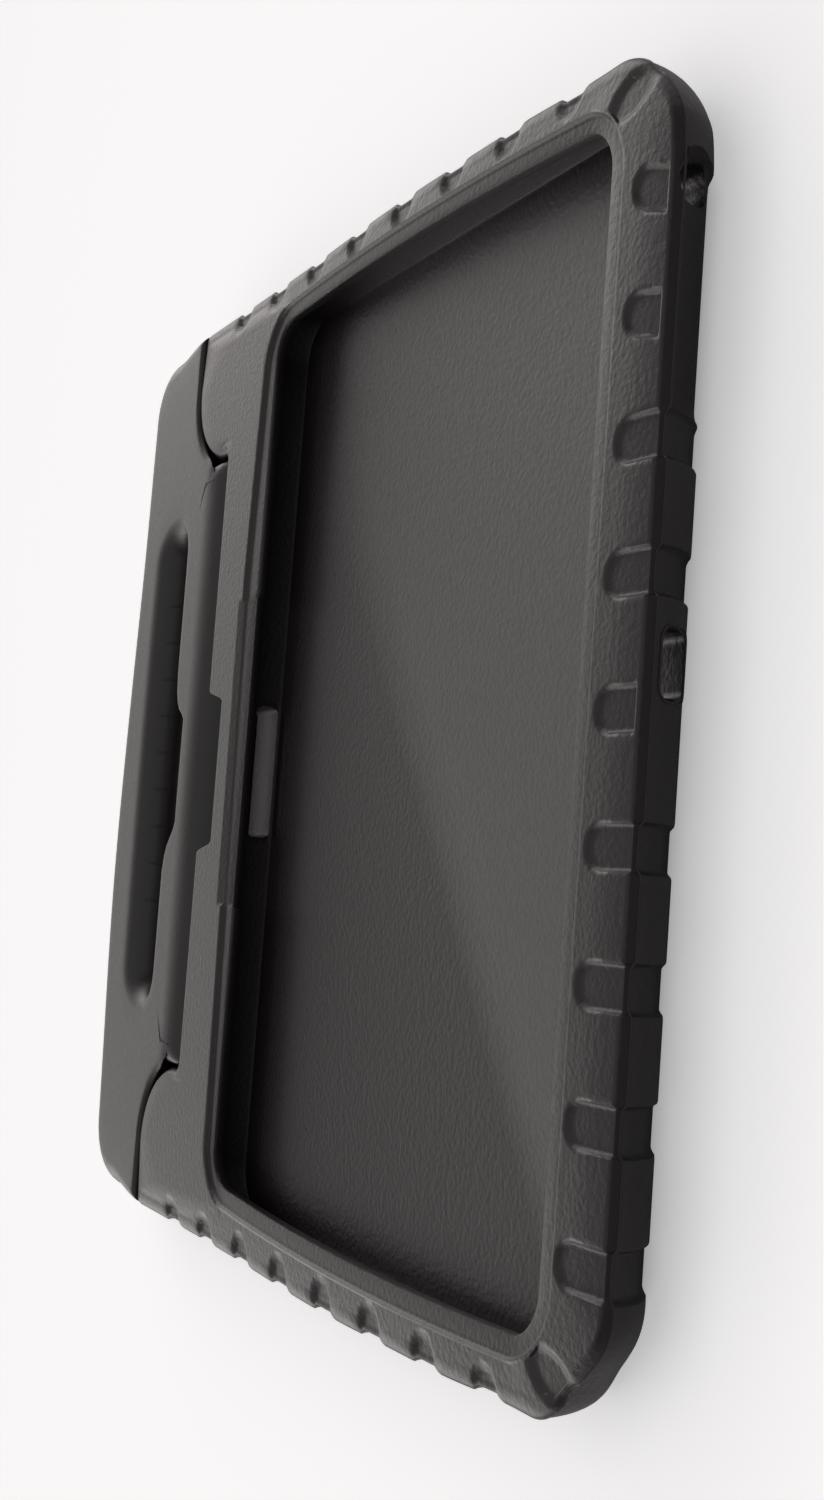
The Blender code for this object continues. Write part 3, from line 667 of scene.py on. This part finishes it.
def rounded_box(cx, cz, half_x, half_z, radius):
    """An upright rounded rectangle as x, z points."""
    loop = [arc(half_x - radius, half_z - radius, radius, radius, 0, 90, 6),
            arc(radius - half_x, half_z - radius, radius, radius, 90, 180, 6),
            arc(radius - half_x, radius - half_z, radius, radius, 180, 270, 6),
            arc(half_x - radius, radius - half_z, radius, radius, 270, 360, 6)]
    return np.concatenate(loop) + np.array([cx, cz])


def pocket_cutter():
    """The shallow pocket below the ridge on the near side, with soft ends."""
    left_end = ((-0.6, -1.0), (0.0, 0.2), (0.6, 1.8), (1.2, 2.7), (2.0, 3.1), (3.5, POCKET_DEEP))
    right_end = ((-4.5, POCKET_DEEP), (-3.0, 2.9), (-1.8, 2.2), (-0.8, 1.0), (0.0, 0.0), (1.0, -1.0))
    stations = [(POCKET_LEFT + past, depth) for past, depth in left_end]
    stations += [(POCKET_RIGHT + past, depth) for past, depth in right_end]
    rings = []
    for x, depth in stations:
        floor = arc(NEAR_Y - UNDER_NEAR, POCKET_TOP, UNDER_NEAR - depth, POCKET_TOP, 0, -90, 14)
        loop = np.concatenate([[(NEAR_Y + 3.0, -3.0), (NEAR_Y + 3.0, POCKET_TOP)], floor])
        rings.append(np.column_stack([np.full(len(loop), x), loop[:, 0], loop[:, 1]]))
    cutter = skin("pocket_cutter", rings)
    tidy_mesh(cutter)
    return cutter


def parting_path(rings):
    """The line on the ridge where the mould's halves meet, from the right ear to the left one."""
    ring = rings[len(rings) - len(OUTER_LEVELS) + OUTER_LEVELS.index(RIDGE_Z)]
    side = len(CORNER_S) + len(SIDE_YS) + len(EAR_SIDE_S)
    return np.concatenate([ring[-side:], ring[:len(NEAR_XS) + side]])


def window_path():
    """The outline of the side window's frame, laid on the near wall."""
    outline = rounded_box(*WINDOW_FRAME)
    walls = [NEAR_Y - rim_inset(z, UNDER_NEAR) for z in outline[:, 1]]
    return np.column_stack([outline[:, 0], walls, outline[:, 1]])


def rib_paths():
    """Faint ribs across the inner edge of the grip, one for each place in the hole."""
    paths = []
    for k in range(RIB_COUNT):
        x = RIB_FIRST + k * RIB_PITCH
        heights = np.linspace(*RIB_HEIGHTS, 9)
        inner = [GRIP - GRIP_INNER * handle_round(z)[0] for z in heights]
        paths.append(np.column_stack([np.full(9, x), float(bowed(x)) + np.array(inner), heights]))
    return paths


def bead_tree():
    """Geometry nodes that sweep a round bead along each edge path of a piece."""
    tree = bpy.data.node_groups.new("bead_along_edges", "GeometryNodeTree")
    made = tree.interface
    made.new_socket("Geometry", in_out="INPUT", socket_type="NodeSocketGeometry")
    for label, kind in (("Bead radius", "NodeSocketFloat"), ("Station step", "NodeSocketFloat"),
                        ("Finish", "NodeSocketMaterial")):
        made.new_socket(label, in_out="INPUT", socket_type=kind)
    made.new_socket("Geometry", in_out="OUTPUT", socket_type="NodeSocketGeometry")
    enter = node(tree, "NodeGroupInput").outputs
    path = node(tree, "GeometryNodeMeshToCurve", [("Mesh", enter["Geometry"])])
    even = node(tree, "GeometryNodeResampleCurve", [("Curve", path.outputs["Curve"]),
                                                    ("Length", enter["Station step"])], mode="LENGTH")
    ring = node(tree, "GeometryNodeCurvePrimitiveCircle", [("Radius", enter["Bead radius"])])
    ring.inputs["Resolution"].default_value = BEAD_SIDES
    bead = node(tree, "GeometryNodeCurveToMesh", [("Curve", even.outputs["Curve"]),
                                                  ("Profile Curve", ring.outputs["Curve"])])
    bead.inputs["Fill Caps"].default_value = True
    real = node(tree, "GeometryNodeRealizeInstances", [("Geometry", bead.outputs["Mesh"])])
    finish = node(tree, "GeometryNodeSetMaterial", [("Geometry", real.outputs["Geometry"]),
                                                    ("Material", enter["Finish"])])
    node(tree, "NodeGroupOutput", [("Geometry", finish.outputs["Geometry"])])
    return tree


def bead_piece(name, tree, paths, closed, radius, step, finish):
    """A piece made of round beads along paths given in millimetres."""
    verts, edges = [], []
    for path in paths:
        start = len(verts)
        verts += (np.asarray(path) * 0.001).tolist()
        edges += [(start + i, start + i + 1) for i in range(len(path) - 1)]
        if closed:
            edges.append((start + len(path) - 1, start))
    mesh = bpy.data.meshes.new(name)
    mesh.from_pydata(verts, edges, [])
    obj = bpy.data.objects.new(name, mesh)
    bpy.context.scene.collection.objects.link(obj)
    modifier = obj.modifiers.new("beads", "NODES")
    modifier.node_group = tree
    values = {"Bead radius": radius * 0.001, "Station step": step * 0.001, "Finish": finish}
    for item in tree.interface.items_tree:
        if item.in_out == "INPUT" and item.name in values:
            modifier[item.identifier] = values[item.name]
    graph = bpy.context.evaluated_depsgraph_get()
    plain = bpy.data.meshes.new_from_object(obj.evaluated_get(graph))
    obj.modifiers.clear()
    obj.data = plain
    bpy.data.meshes.remove(mesh)
    plain.name = name
    tidy_mesh(obj, 60.0)
    return obj


def make_body():
    """The moulded body with its pocket and its openings, and the path of its parting line."""
    rings = body_rings()
    body = skin("body_foam", rings)
    tidy_mesh(body)
    hole_mouth = ((85.0, 0.0), (102.6, 0.0), (103.6, 0.35), (104.6, 1.2), (112.0, 6.0))
    window_mouth = ((85.0, 0.0), (104.6, 0.0), (105.6, 0.3), (106.3, 0.9), (110.0, 3.5))
    carve(body, [
        pocket_cutter(),
        cutter_along_y("hole_cutter", rounded_box(*BUTTON_HOLE), hole_mouth),
        cutter_along_y("window_cutter", rounded_box(*SIDE_WINDOW), window_mouth),
        cutter_along_y("slot_cutter", rounded_box(*PLUG_SLOT), ((-116.0, 0.0), (-85.0, 0.0))),
    ])
    tidy_mesh(body, 38.0)
    return body, parting_path(rings)


def bowed(x):
    """Y of the bow that the grip follows."""
    return HANDLE_Y + HANDLE_BOW * (np.asarray(x) / HANDLE_X) ** 2


def outer_bow(x):
    """Y of the handle's outer edge, which bulges a little on the right and less on the left."""
    x = np.asarray(x)
    out, hollow = HANDLE_BULGE, HANDLE_HOLLOW
    return (bowed(x) - out[0] * np.exp(-((x - out[1]) / out[2]) ** 2)
            + hollow[0] * np.exp(-((x - hollow[1]) / hollow[2]) ** 2))


# Stations on the handle, from the middle of the bar round its left half.
RELIEF_MARKS = [-x for x in RELIEF_XS] + [-0.5 * (a + b) for a, b in zip(RELIEF_XS, RELIEF_XS[1:])]
BAR_XS = spaced(RELIEF_MARKS, -HOLE_FLAT_X, HOLE_FLAT_X, 4.5)
BAR_END_S = np.linspace(0.0, 1.0, 17)[1:]
WING_S = np.linspace(0.0, 1.0, 21)[1:]
WING_END_S = np.linspace(0.0, 1.0, 9)[1:]
FLANK_S = np.linspace(0.0, 1.0, 9)[1:]
TURN_S = np.linspace(0.0, 1.0, 21)[1:]
GRIP_XS = np.linspace(-HOLE_FLAT_X, HOLE_FLAT_X, 33)[1:-1]


def handle_inner(grow_end, grow_bar, grow_grip):
    """The hand hole's outline, widened at its ends, at the bar and at the grip."""
    xs = -BAR_XS
    jog = np.interp(xs, RELIEF_XS, RELIEF_SHARES)
    bar = np.stack([xs, BAR_HOLE + grow_bar + RELIEF_DEEP * jog], axis=1)
    top_y = BAR_HOLE - HOLE_R
    top_arc = arc(-HOLE_FLAT_X, top_y, HOLE_R + grow_end, HOLE_R + grow_bar, 90, 180)
    low_y = float(bowed(HOLE_FLAT_X)) + GRIP + HOLE_R
    low_arc = arc(-HOLE_FLAT_X, low_y, HOLE_R + grow_end, HOLE_R + grow_grip, 180, 270)
    mid = 0.5 * (top_arc[-1] + low_arc[0])
    upper = np.concatenate([top_arc, [mid]])
    lower = np.concatenate([[mid], low_arc])
    shares = np.concatenate([BAR_END_S * 0.30, 0.30 + WING_S * 0.35, 0.65 + WING_END_S * 0.35])
    left_side = np.concatenate([along(upper, shares),
                                along(lower, np.concatenate([FLANK_S * 0.3, 0.3 + TURN_S * 0.7]))])
    grip = np.stack([GRIP_XS, bowed(GRIP_XS) + GRIP - grow_grip], axis=1)
    return np.concatenate([bar, left_side, grip, left_side[::-1] * np.array([-1.0, 1.0])])


def handle_round(z):
    """How far the handle's round edges have turned in at height z, from 0 to 1, and the Y of the
    bar's edge along the seam."""
    share = 1.0 - sqrt(max(0.0, 1.0 - ((z - MID_Z) / MID_Z) ** 2))
    return share, BAR_SEAM - (BAR_TOP_ROUND if z > MID_Z else MID_Z) * share


def handle_side(z, trim):
    """The handle's left half at height z, from the bar's end round the ear and the corner. The
    shoulder keeps outside the ear's round about the pivot, and turns freely beside its cheek."""
    share, seam = handle_round(z)
    inset = GRIP_ROUND * share
    grow = HANDLE_GAP + trim
    wing_xy = ear_line(z, -grow)[::-1]
    clear = PIVOT_Y - MID_Z - HANDLE_GAP if z < MID_Z else seam - 0.2
    inside = smooth((BAR_X - np.abs(wing_xy[:, 0])) / CHEEK_FREE)
    swept = swing(ear_low(wing_xy[:, 0]), z, HANDLE_GAP) + CHEEK_FREE * inside
    wing_xy[:, 1] = np.minimum(wing_xy[:, 1], np.minimum(swept, clear))
    cheek_end = np.array([-(BAR_X - trim), wing_xy[0, 1]])
    end_x = BAR_X - trim
    turn = arc(-end_x + SEAM_END_R, seam - SEAM_END_R, SEAM_END_R, SEAM_END_R, 90, 180, 8)
    turn[:, 1] = np.maximum(turn[:, 1], cheek_end[1])
    bar_end = along(np.concatenate([[(-BAR_FLAT_X, seam)], turn, [cheek_end]]), BAR_END_S)
    wing = along(np.concatenate([[cheek_end], wing_xy]), WING_S)
    end_y = min(end_line(z, -grow), float(swing(EAR_END, z, HANDLE_GAP)))
    ear_x = HANDLE_X - side_inset(z)
    wing_end = along([wing[-1], (-ear_x, end_y)], WING_END_S)
    corner_x = HANDLE_X - HANDLE_R
    corner_y = float(bowed(corner_x)) + HANDLE_R
    drop = smooth(FLANK_S)
    flank = np.stack([-(ear_x + (HANDLE_X - inset - ear_x) * drop),
                      end_y + (corner_y - end_y) * FLANK_S], axis=1)
    sweep = arc(-corner_x, corner_y, HANDLE_R - inset, HANDLE_R - inset, 180, 270, 40)
    sweep = along(np.concatenate([sweep, [(-GRIP_X, float(bowed(GRIP_X)) + inset)]]), TURN_S)
    return np.concatenate([bar_end, wing, wing_end, flank, sweep])


def handle_outer(z, trim):
    """The handle's outside at height z. trim is the inset of its rounded edge by the ears."""
    share, seam = handle_round(z)
    bar = np.stack([-BAR_XS * BAR_FLAT_X / HOLE_FLAT_X, np.full(len(BAR_XS), seam)], axis=1)
    left_side = handle_side(z, trim)
    grip_x = GRIP_XS * GRIP_X / HOLE_FLAT_X
    grip = np.stack([grip_x, bowed(grip_x) + GRIP_ROUND * share], axis=1)
    loop = np.concatenate([bar, left_side, grip, left_side[::-1] * np.array([-1.0, 1.0])])
    far = smooth((-loop[:, 1] - 160.0) / 20.0)
    loop[:, 1] += (outer_bow(loop[:, 0]) - bowed(loop[:, 0])) * far
    return loop


def edge_round(z, radius):
    """How far an edge of this radius, at the front or the back, has turned away at height z."""
    past = max(0.0, abs(z - MID_Z) - (MID_Z - radius)) / radius
    return radius * (1.0 - sqrt(max(0.0, 1.0 - past * past)))


LAND_STEPS = 6
WALL_ANGLES = [90, 84, 78, 71, 63, 54, 45, 34, 22, 10, 0]


def handle_rings():
    """The handle's skin: over the front, round the outside, over the back and up the hole."""
    heights = [MID_Z + MID_Z * sin(radians(a)) for a in WALL_ANGLES]
    outside, inside = [], []
    for z in heights + [THICK - h for h in heights[-2::-1]]:
        outer = handle_outer(z, edge_round(z, SHOULDER_R if z > MID_Z else SHOULDER_BACK_R))
        inner = handle_inner(edge_round(z, HOLE_END_ROUND), edge_round(z, HOLE_BAR_ROUND),
                             GRIP_INNER * handle_round(z)[0])
        outside.append(np.column_stack([outer, np.full(len(outer), z)]))
        inside.append(np.column_stack([inner, np.full(len(inner), z)]))
    rings = []
    for low, high, z in ((inside[0], outside[0], THICK), (outside[-1], inside[-1], 0.0)):
        between = [low + (high - low) * k / (LAND_STEPS + 1) for k in range(1, LAND_STEPS + 1)]
        rings += between
        rings += outside if z > 0 else inside[::-1]
    return rings


def make_handle():
    """The moulded handle."""
    handle = skin("handle_foam", handle_rings(), closed=True)
    tidy_mesh(handle, 45.0)
    return handle


def linear(code):
    """An sRGB hex colour as linear RGBA."""
    parts = [int(code[i:i + 2], 16) / 255 for i in (1, 3, 5)]
    return (*[c / 12.92 if c <= 0.04045 else ((c + 0.055) / 1.055) ** 2.4 for c in parts], 1.0)


def node(tree, kind, links=(), **settings):
    """Adds a node. Settings are attributes, or inputs by name; links are (input, output socket)."""
    made = tree.nodes.new(kind)
    for key, value in settings.items():
        if hasattr(made, key):
            setattr(made, key, value)
        else:
            made.inputs[key.replace("_", " ")].default_value = value
    for name, socket in links:
        tree.links.new(made.inputs[name], socket)
    return made


def new_material(name):
    """An empty node material with a Principled surface."""
    material = bpy.data.materials.new(name)
    material.use_nodes = True
    tree = material.node_tree
    return material, tree, tree.nodes["Principled BSDF"]


def moulded_foam(name, dark, pale, grain_mm, bump_mm, roughness):
    """Closed-cell EVA foam from a textured mould: near black, matt, with a pebbled skin that
    turns pale and silky at a low angle."""
    material, tree, shader = new_material(name)
    place = node(tree, "ShaderNodeTexCoord").outputs["Object"]
    grain = node(tree, "ShaderNodeTexNoise", [("Vector", place)], Scale=1000.0 / grain_mm, Detail=2.0,
                 Roughness=0.5)
    cloud = node(tree, "ShaderNodeTexNoise", [("Vector", place)], Scale=1000.0 / 45.0, Detail=2.0)
    tone = node(tree, "ShaderNodeMix", [("Factor", cloud.outputs["Fac"])], data_type="RGBA")
    tone.inputs["A"].default_value = linear(dark)
    tone.inputs["B"].default_value = linear(pale)
    bump = node(tree, "ShaderNodeBump", [("Height", grain.outputs["Fac"])], Strength=1.0,
                Distance=bump_mm * 0.001)
    sheen = node(tree, "ShaderNodeMapRange", [("Value", grain.outputs["Fac"])])
    sheen.inputs["To Min"].default_value = roughness - 0.05
    sheen.inputs["To Max"].default_value = roughness + 0.07
    tree.links.new(shader.inputs["Base Color"], tone.outputs["Result"])
    tree.links.new(shader.inputs["Roughness"], sheen.outputs["Result"])
    tree.links.new(shader.inputs["Normal"], bump.outputs["Normal"])
    shader.inputs["IOR"].default_value = 1.5
    return material


def paint(obj, material):
    """Gives a piece one material."""
    obj.data.materials.clear()
    obj.data.materials.append(material)


def place_camera():
    """The camera at the photograph's viewing angle, turned on end as the photograph is."""
    data = bpy.data.cameras.new("camera")
    camera = bpy.data.objects.new("camera", data)
    bpy.context.scene.collection.objects.link(camera)
    right = Vector(CAMERA_RIGHT).normalized()
    ahead = Vector(CAMERA_AHEAD).normalized()
    down = Vector(CAMERA_DOWN).normalized()
    turn = Matrix((right, -down, -ahead)).transposed()
    camera.matrix_world = Matrix.Translation(Vector(CAMERA_PLACE) * 0.001) @ turn.to_4x4()
    data.sensor_fit = "VERTICAL"
    data.sensor_height = 36.0
    data.lens = CAMERA_LENS
    data.shift_x, data.shift_y = CAMERA_SHIFT
    data.clip_start = 0.01
    bpy.context.scene.camera = camera


def area_light(name, place, target, size, watts):
    """A soft square lamp that points at a target; places in metres."""
    data = bpy.data.lights.new(name, "AREA")
    data.shape = "SQUARE"
    data.size = size
    data.energy = watts
    lamp = bpy.data.objects.new(name, data)
    lamp.location = place
    lamp.rotation_euler = (Vector(target) - Vector(place)).to_track_quat("-Z", "Y").to_euler()
    bpy.context.scene.collection.objects.link(lamp)


def ray_share(tree, base):
    """Strength for light rays, and 1 where the camera looks straight at the backdrop."""
    path = node(tree, "ShaderNodeLightPath")
    share = node(tree, "ShaderNodeMix", [("Factor", path.outputs["Is Camera Ray"]), ("A", base)],
                 data_type="FLOAT")
    share.inputs["B"].default_value = 1.0
    return share.outputs["Result"]


def band(tree, value, low, high, at_low, at_high):
    """A level that eases from one strength to another between two places."""
    made = node(tree, "ShaderNodeMapRange", [("Value", value)], interpolation_type="SMOOTHSTEP")
    ends = {"From Min": low, "From Max": high, "To Min": at_low, "To Max": at_high}
    for name, number in ends.items():
        made.inputs[name].default_value = number
    return made.outputs["Result"]


def sum_up(tree, operation, *sockets):
    """A Math node over one or two sockets."""
    made = node(tree, "ShaderNodeMath", list(enumerate(sockets)), operation=operation)
    return made.outputs["Value"]


def camera_mix(tree, seen, unseen):
    """One colour where the camera looks straight at a surface, and another for light rays."""
    path = node(tree, "ShaderNodeLightPath")
    tone = node(tree, "ShaderNodeMix", [("Factor", path.outputs["Is Camera Ray"])], data_type="RGBA")
    tone.inputs["A"].default_value = unseen
    tone.inputs["B"].default_value = seen
    return tone.outputs["Result"]


def build_floor():
    """A pale floor with painted light: for light rays it glows only far out, so it stays dark near
    the case as painted shade; for the camera it glows everywhere but under the case, where the glow
    is left out as painted shade over the case's own shadow."""
    bpy.ops.mesh.primitive_plane_add(size=FLOOR_SIZE, location=(0, 0, -0.0002))
    floor = bpy.context.object
    floor.name = "floor"
    material, tree, shader = new_material("pale_paper_floor")
    tree.links.new(shader.inputs["Base Color"], camera_mix(tree, FLOOR_SEEN, FLOOR_REFLECTED))
    place = node(tree, "ShaderNodeTexCoord").outputs["Object"]
    reach = node(tree, "ShaderNodeVectorMath", [(0, place)], operation="LENGTH").outputs["Value"]
    # Painted light: for light rays the floor glows only far from the case, and its darkness near the
    # case is painted shade.
    away = band(tree, reach, 0.2, 0.9, 0.0, FLOOR_PAINTED_GLOW_FAR)
    split = node(tree, "ShaderNodeSeparateXYZ", [("Vector", place)])
    across = sum_up(tree, "ABSOLUTE", split.outputs["X"])
    # Painted shade: for the camera the floor glows only outside the case's footprint, so the floor
    # under the case, seen through its holes, stays dark.
    camera_glow_with_painted_shade_under_case = sum_up(tree, "ADD", band(tree, across, 0.10, 0.13, 0.0, FLOOR_GLOW),
                   band(tree, split.outputs["Y"], 0.08, 0.10, 0.0, FLOOR_GLOW))
    camera_glow_with_painted_shade_under_case = sum_up(tree, "ADD", camera_glow_with_painted_shade_under_case, band(tree, split.outputs["Y"], -0.19, -0.17, FLOOR_GLOW, 0.0))
    camera_glow_with_painted_shade_under_case = node(tree, "ShaderNodeMath", [(0, camera_glow_with_painted_shade_under_case)], operation="MINIMUM")
    camera_glow_with_painted_shade_under_case.inputs[1].default_value = FLOOR_GLOW
    path = node(tree, "ShaderNodeLightPath")
    glow = node(tree, "ShaderNodeMix", [("Factor", path.outputs["Is Camera Ray"]), ("A", away),
                                        ("B", camera_glow_with_painted_shade_under_case.outputs["Value"])], data_type="FLOAT")
    tree.links.new(shader.inputs["Emission Strength"], glow.outputs["Result"])
    shader.inputs["Emission Color"].default_value = WHITE
    shader.inputs["Roughness"].default_value = 0.9
    shader.inputs["Specular IOR Level"].default_value = 0.0
    floor.data.materials.append(material)


def build_room():
    """A white room: bright low walls behind and beside, a dim near side and a soft lamp above."""
    world = bpy.data.worlds.new("studio")
    bpy.context.scene.world = world
    world.use_nodes = True
    tree = world.node_tree
    back = tree.nodes["Background"]
    view = node(tree, "ShaderNodeTexCoord").outputs["Generated"]
    split = node(tree, "ShaderNodeSeparateXYZ", [("Vector", view)])
    side = sum_up(tree, "ABSOLUTE", split.outputs["X"])
    far_side = band(tree, split.outputs["Y"], -0.5, 0.3, 1.0, 0.0)
    low = band(tree, split.outputs["Z"], *BACK_HEIGHTS, BACK_LOW, BACK_HIGH)
    beside = sum_up(tree, "MULTIPLY", band(tree, side, 0.1, 0.5, 0.0, SIDE_GLOW),
                    band(tree, split.outputs["Z"], 0.3, 0.55, 1.0, 0.0))
    beside = sum_up(tree, "MULTIPLY", beside, band(tree, split.outputs["Y"], -0.75, -0.3, 1.0, 0.0))
    level = sum_up(tree, "ADD", sum_up(tree, "MULTIPLY", low, far_side), beside)
    level = sum_up(tree, "ADD", level, band(tree, split.outputs["Y"], -0.25, 0.35, 0.0, FRONT_GLOW))
    tree.links.new(back.inputs["Strength"], ray_share(tree, level))
    tree.links.new(back.inputs["Color"], camera_mix(tree, WHITE, ROOM_TINT))
    area_light("overhead_softbox", (0.0, 0.1, 1.5), (0, -0.03, 0), OVERHEAD_SIZE, OVERHEAD_WATTS)


def turned_nylon():
    """Turned nylon of the hinge pins: dark grey, with fine scuffs round it."""
    material, tree, shader = new_material("turned_nylon_pins")
    place = node(tree, "ShaderNodeTexCoord").outputs["Object"]
    scuff = node(tree, "ShaderNodeTexNoise", [("Vector", place)], Scale=900.0)
    bump = node(tree, "ShaderNodeBump", [("Height", scuff.outputs["Fac"])], Strength=0.3,
                Distance=0.00005)
    tree.links.new(shader.inputs["Normal"], bump.outputs["Normal"])
    shader.inputs["Base Color"].default_value = linear("#303032")
    shader.inputs["Roughness"].default_value = 0.4
    return material


def main():
    """Builds the two foam pieces, their beads and ribs, the pins' finish, the room and the view."""
    body, parting = make_body()
    foam = moulded_foam("moulded_eva_foam_body", "#191615", "#1e1a19", 1.3, 0.13, 0.38)
    paint(body, foam)
    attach(body, "case")
    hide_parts("case_body")
    handle = make_handle()
    smooth_foam = moulded_foam("moulded_eva_foam_handle", "#191615", "#1e1a19", 1.1, 0.05, 0.38)
    paint(handle, smooth_foam)
    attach(handle, "handle")
    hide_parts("handle")
    beads = bead_tree()
    for name, paths, closed, radius, body_name, finish in (
            ("parting_line", [parting], False, PARTING_R, "case", foam),
            ("window_frame", [window_path()], True, FRAME_R, "case", foam),
            ("hole_ribs", rib_paths(), False, RIB_R, "handle", smooth_foam)):
        piece = bead_piece(name, beads, paths, closed, radius, BEAD_STEP, finish)
        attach(piece, body_name)
    pins = turned_nylon()
    for name in ("hinge_pin_left", "hinge_pin_right"):
        paint(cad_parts[name], pins)
    build_floor()
    build_room()
    place_camera()
    bpy.context.scene.view_settings.view_transform = "Standard"


main()
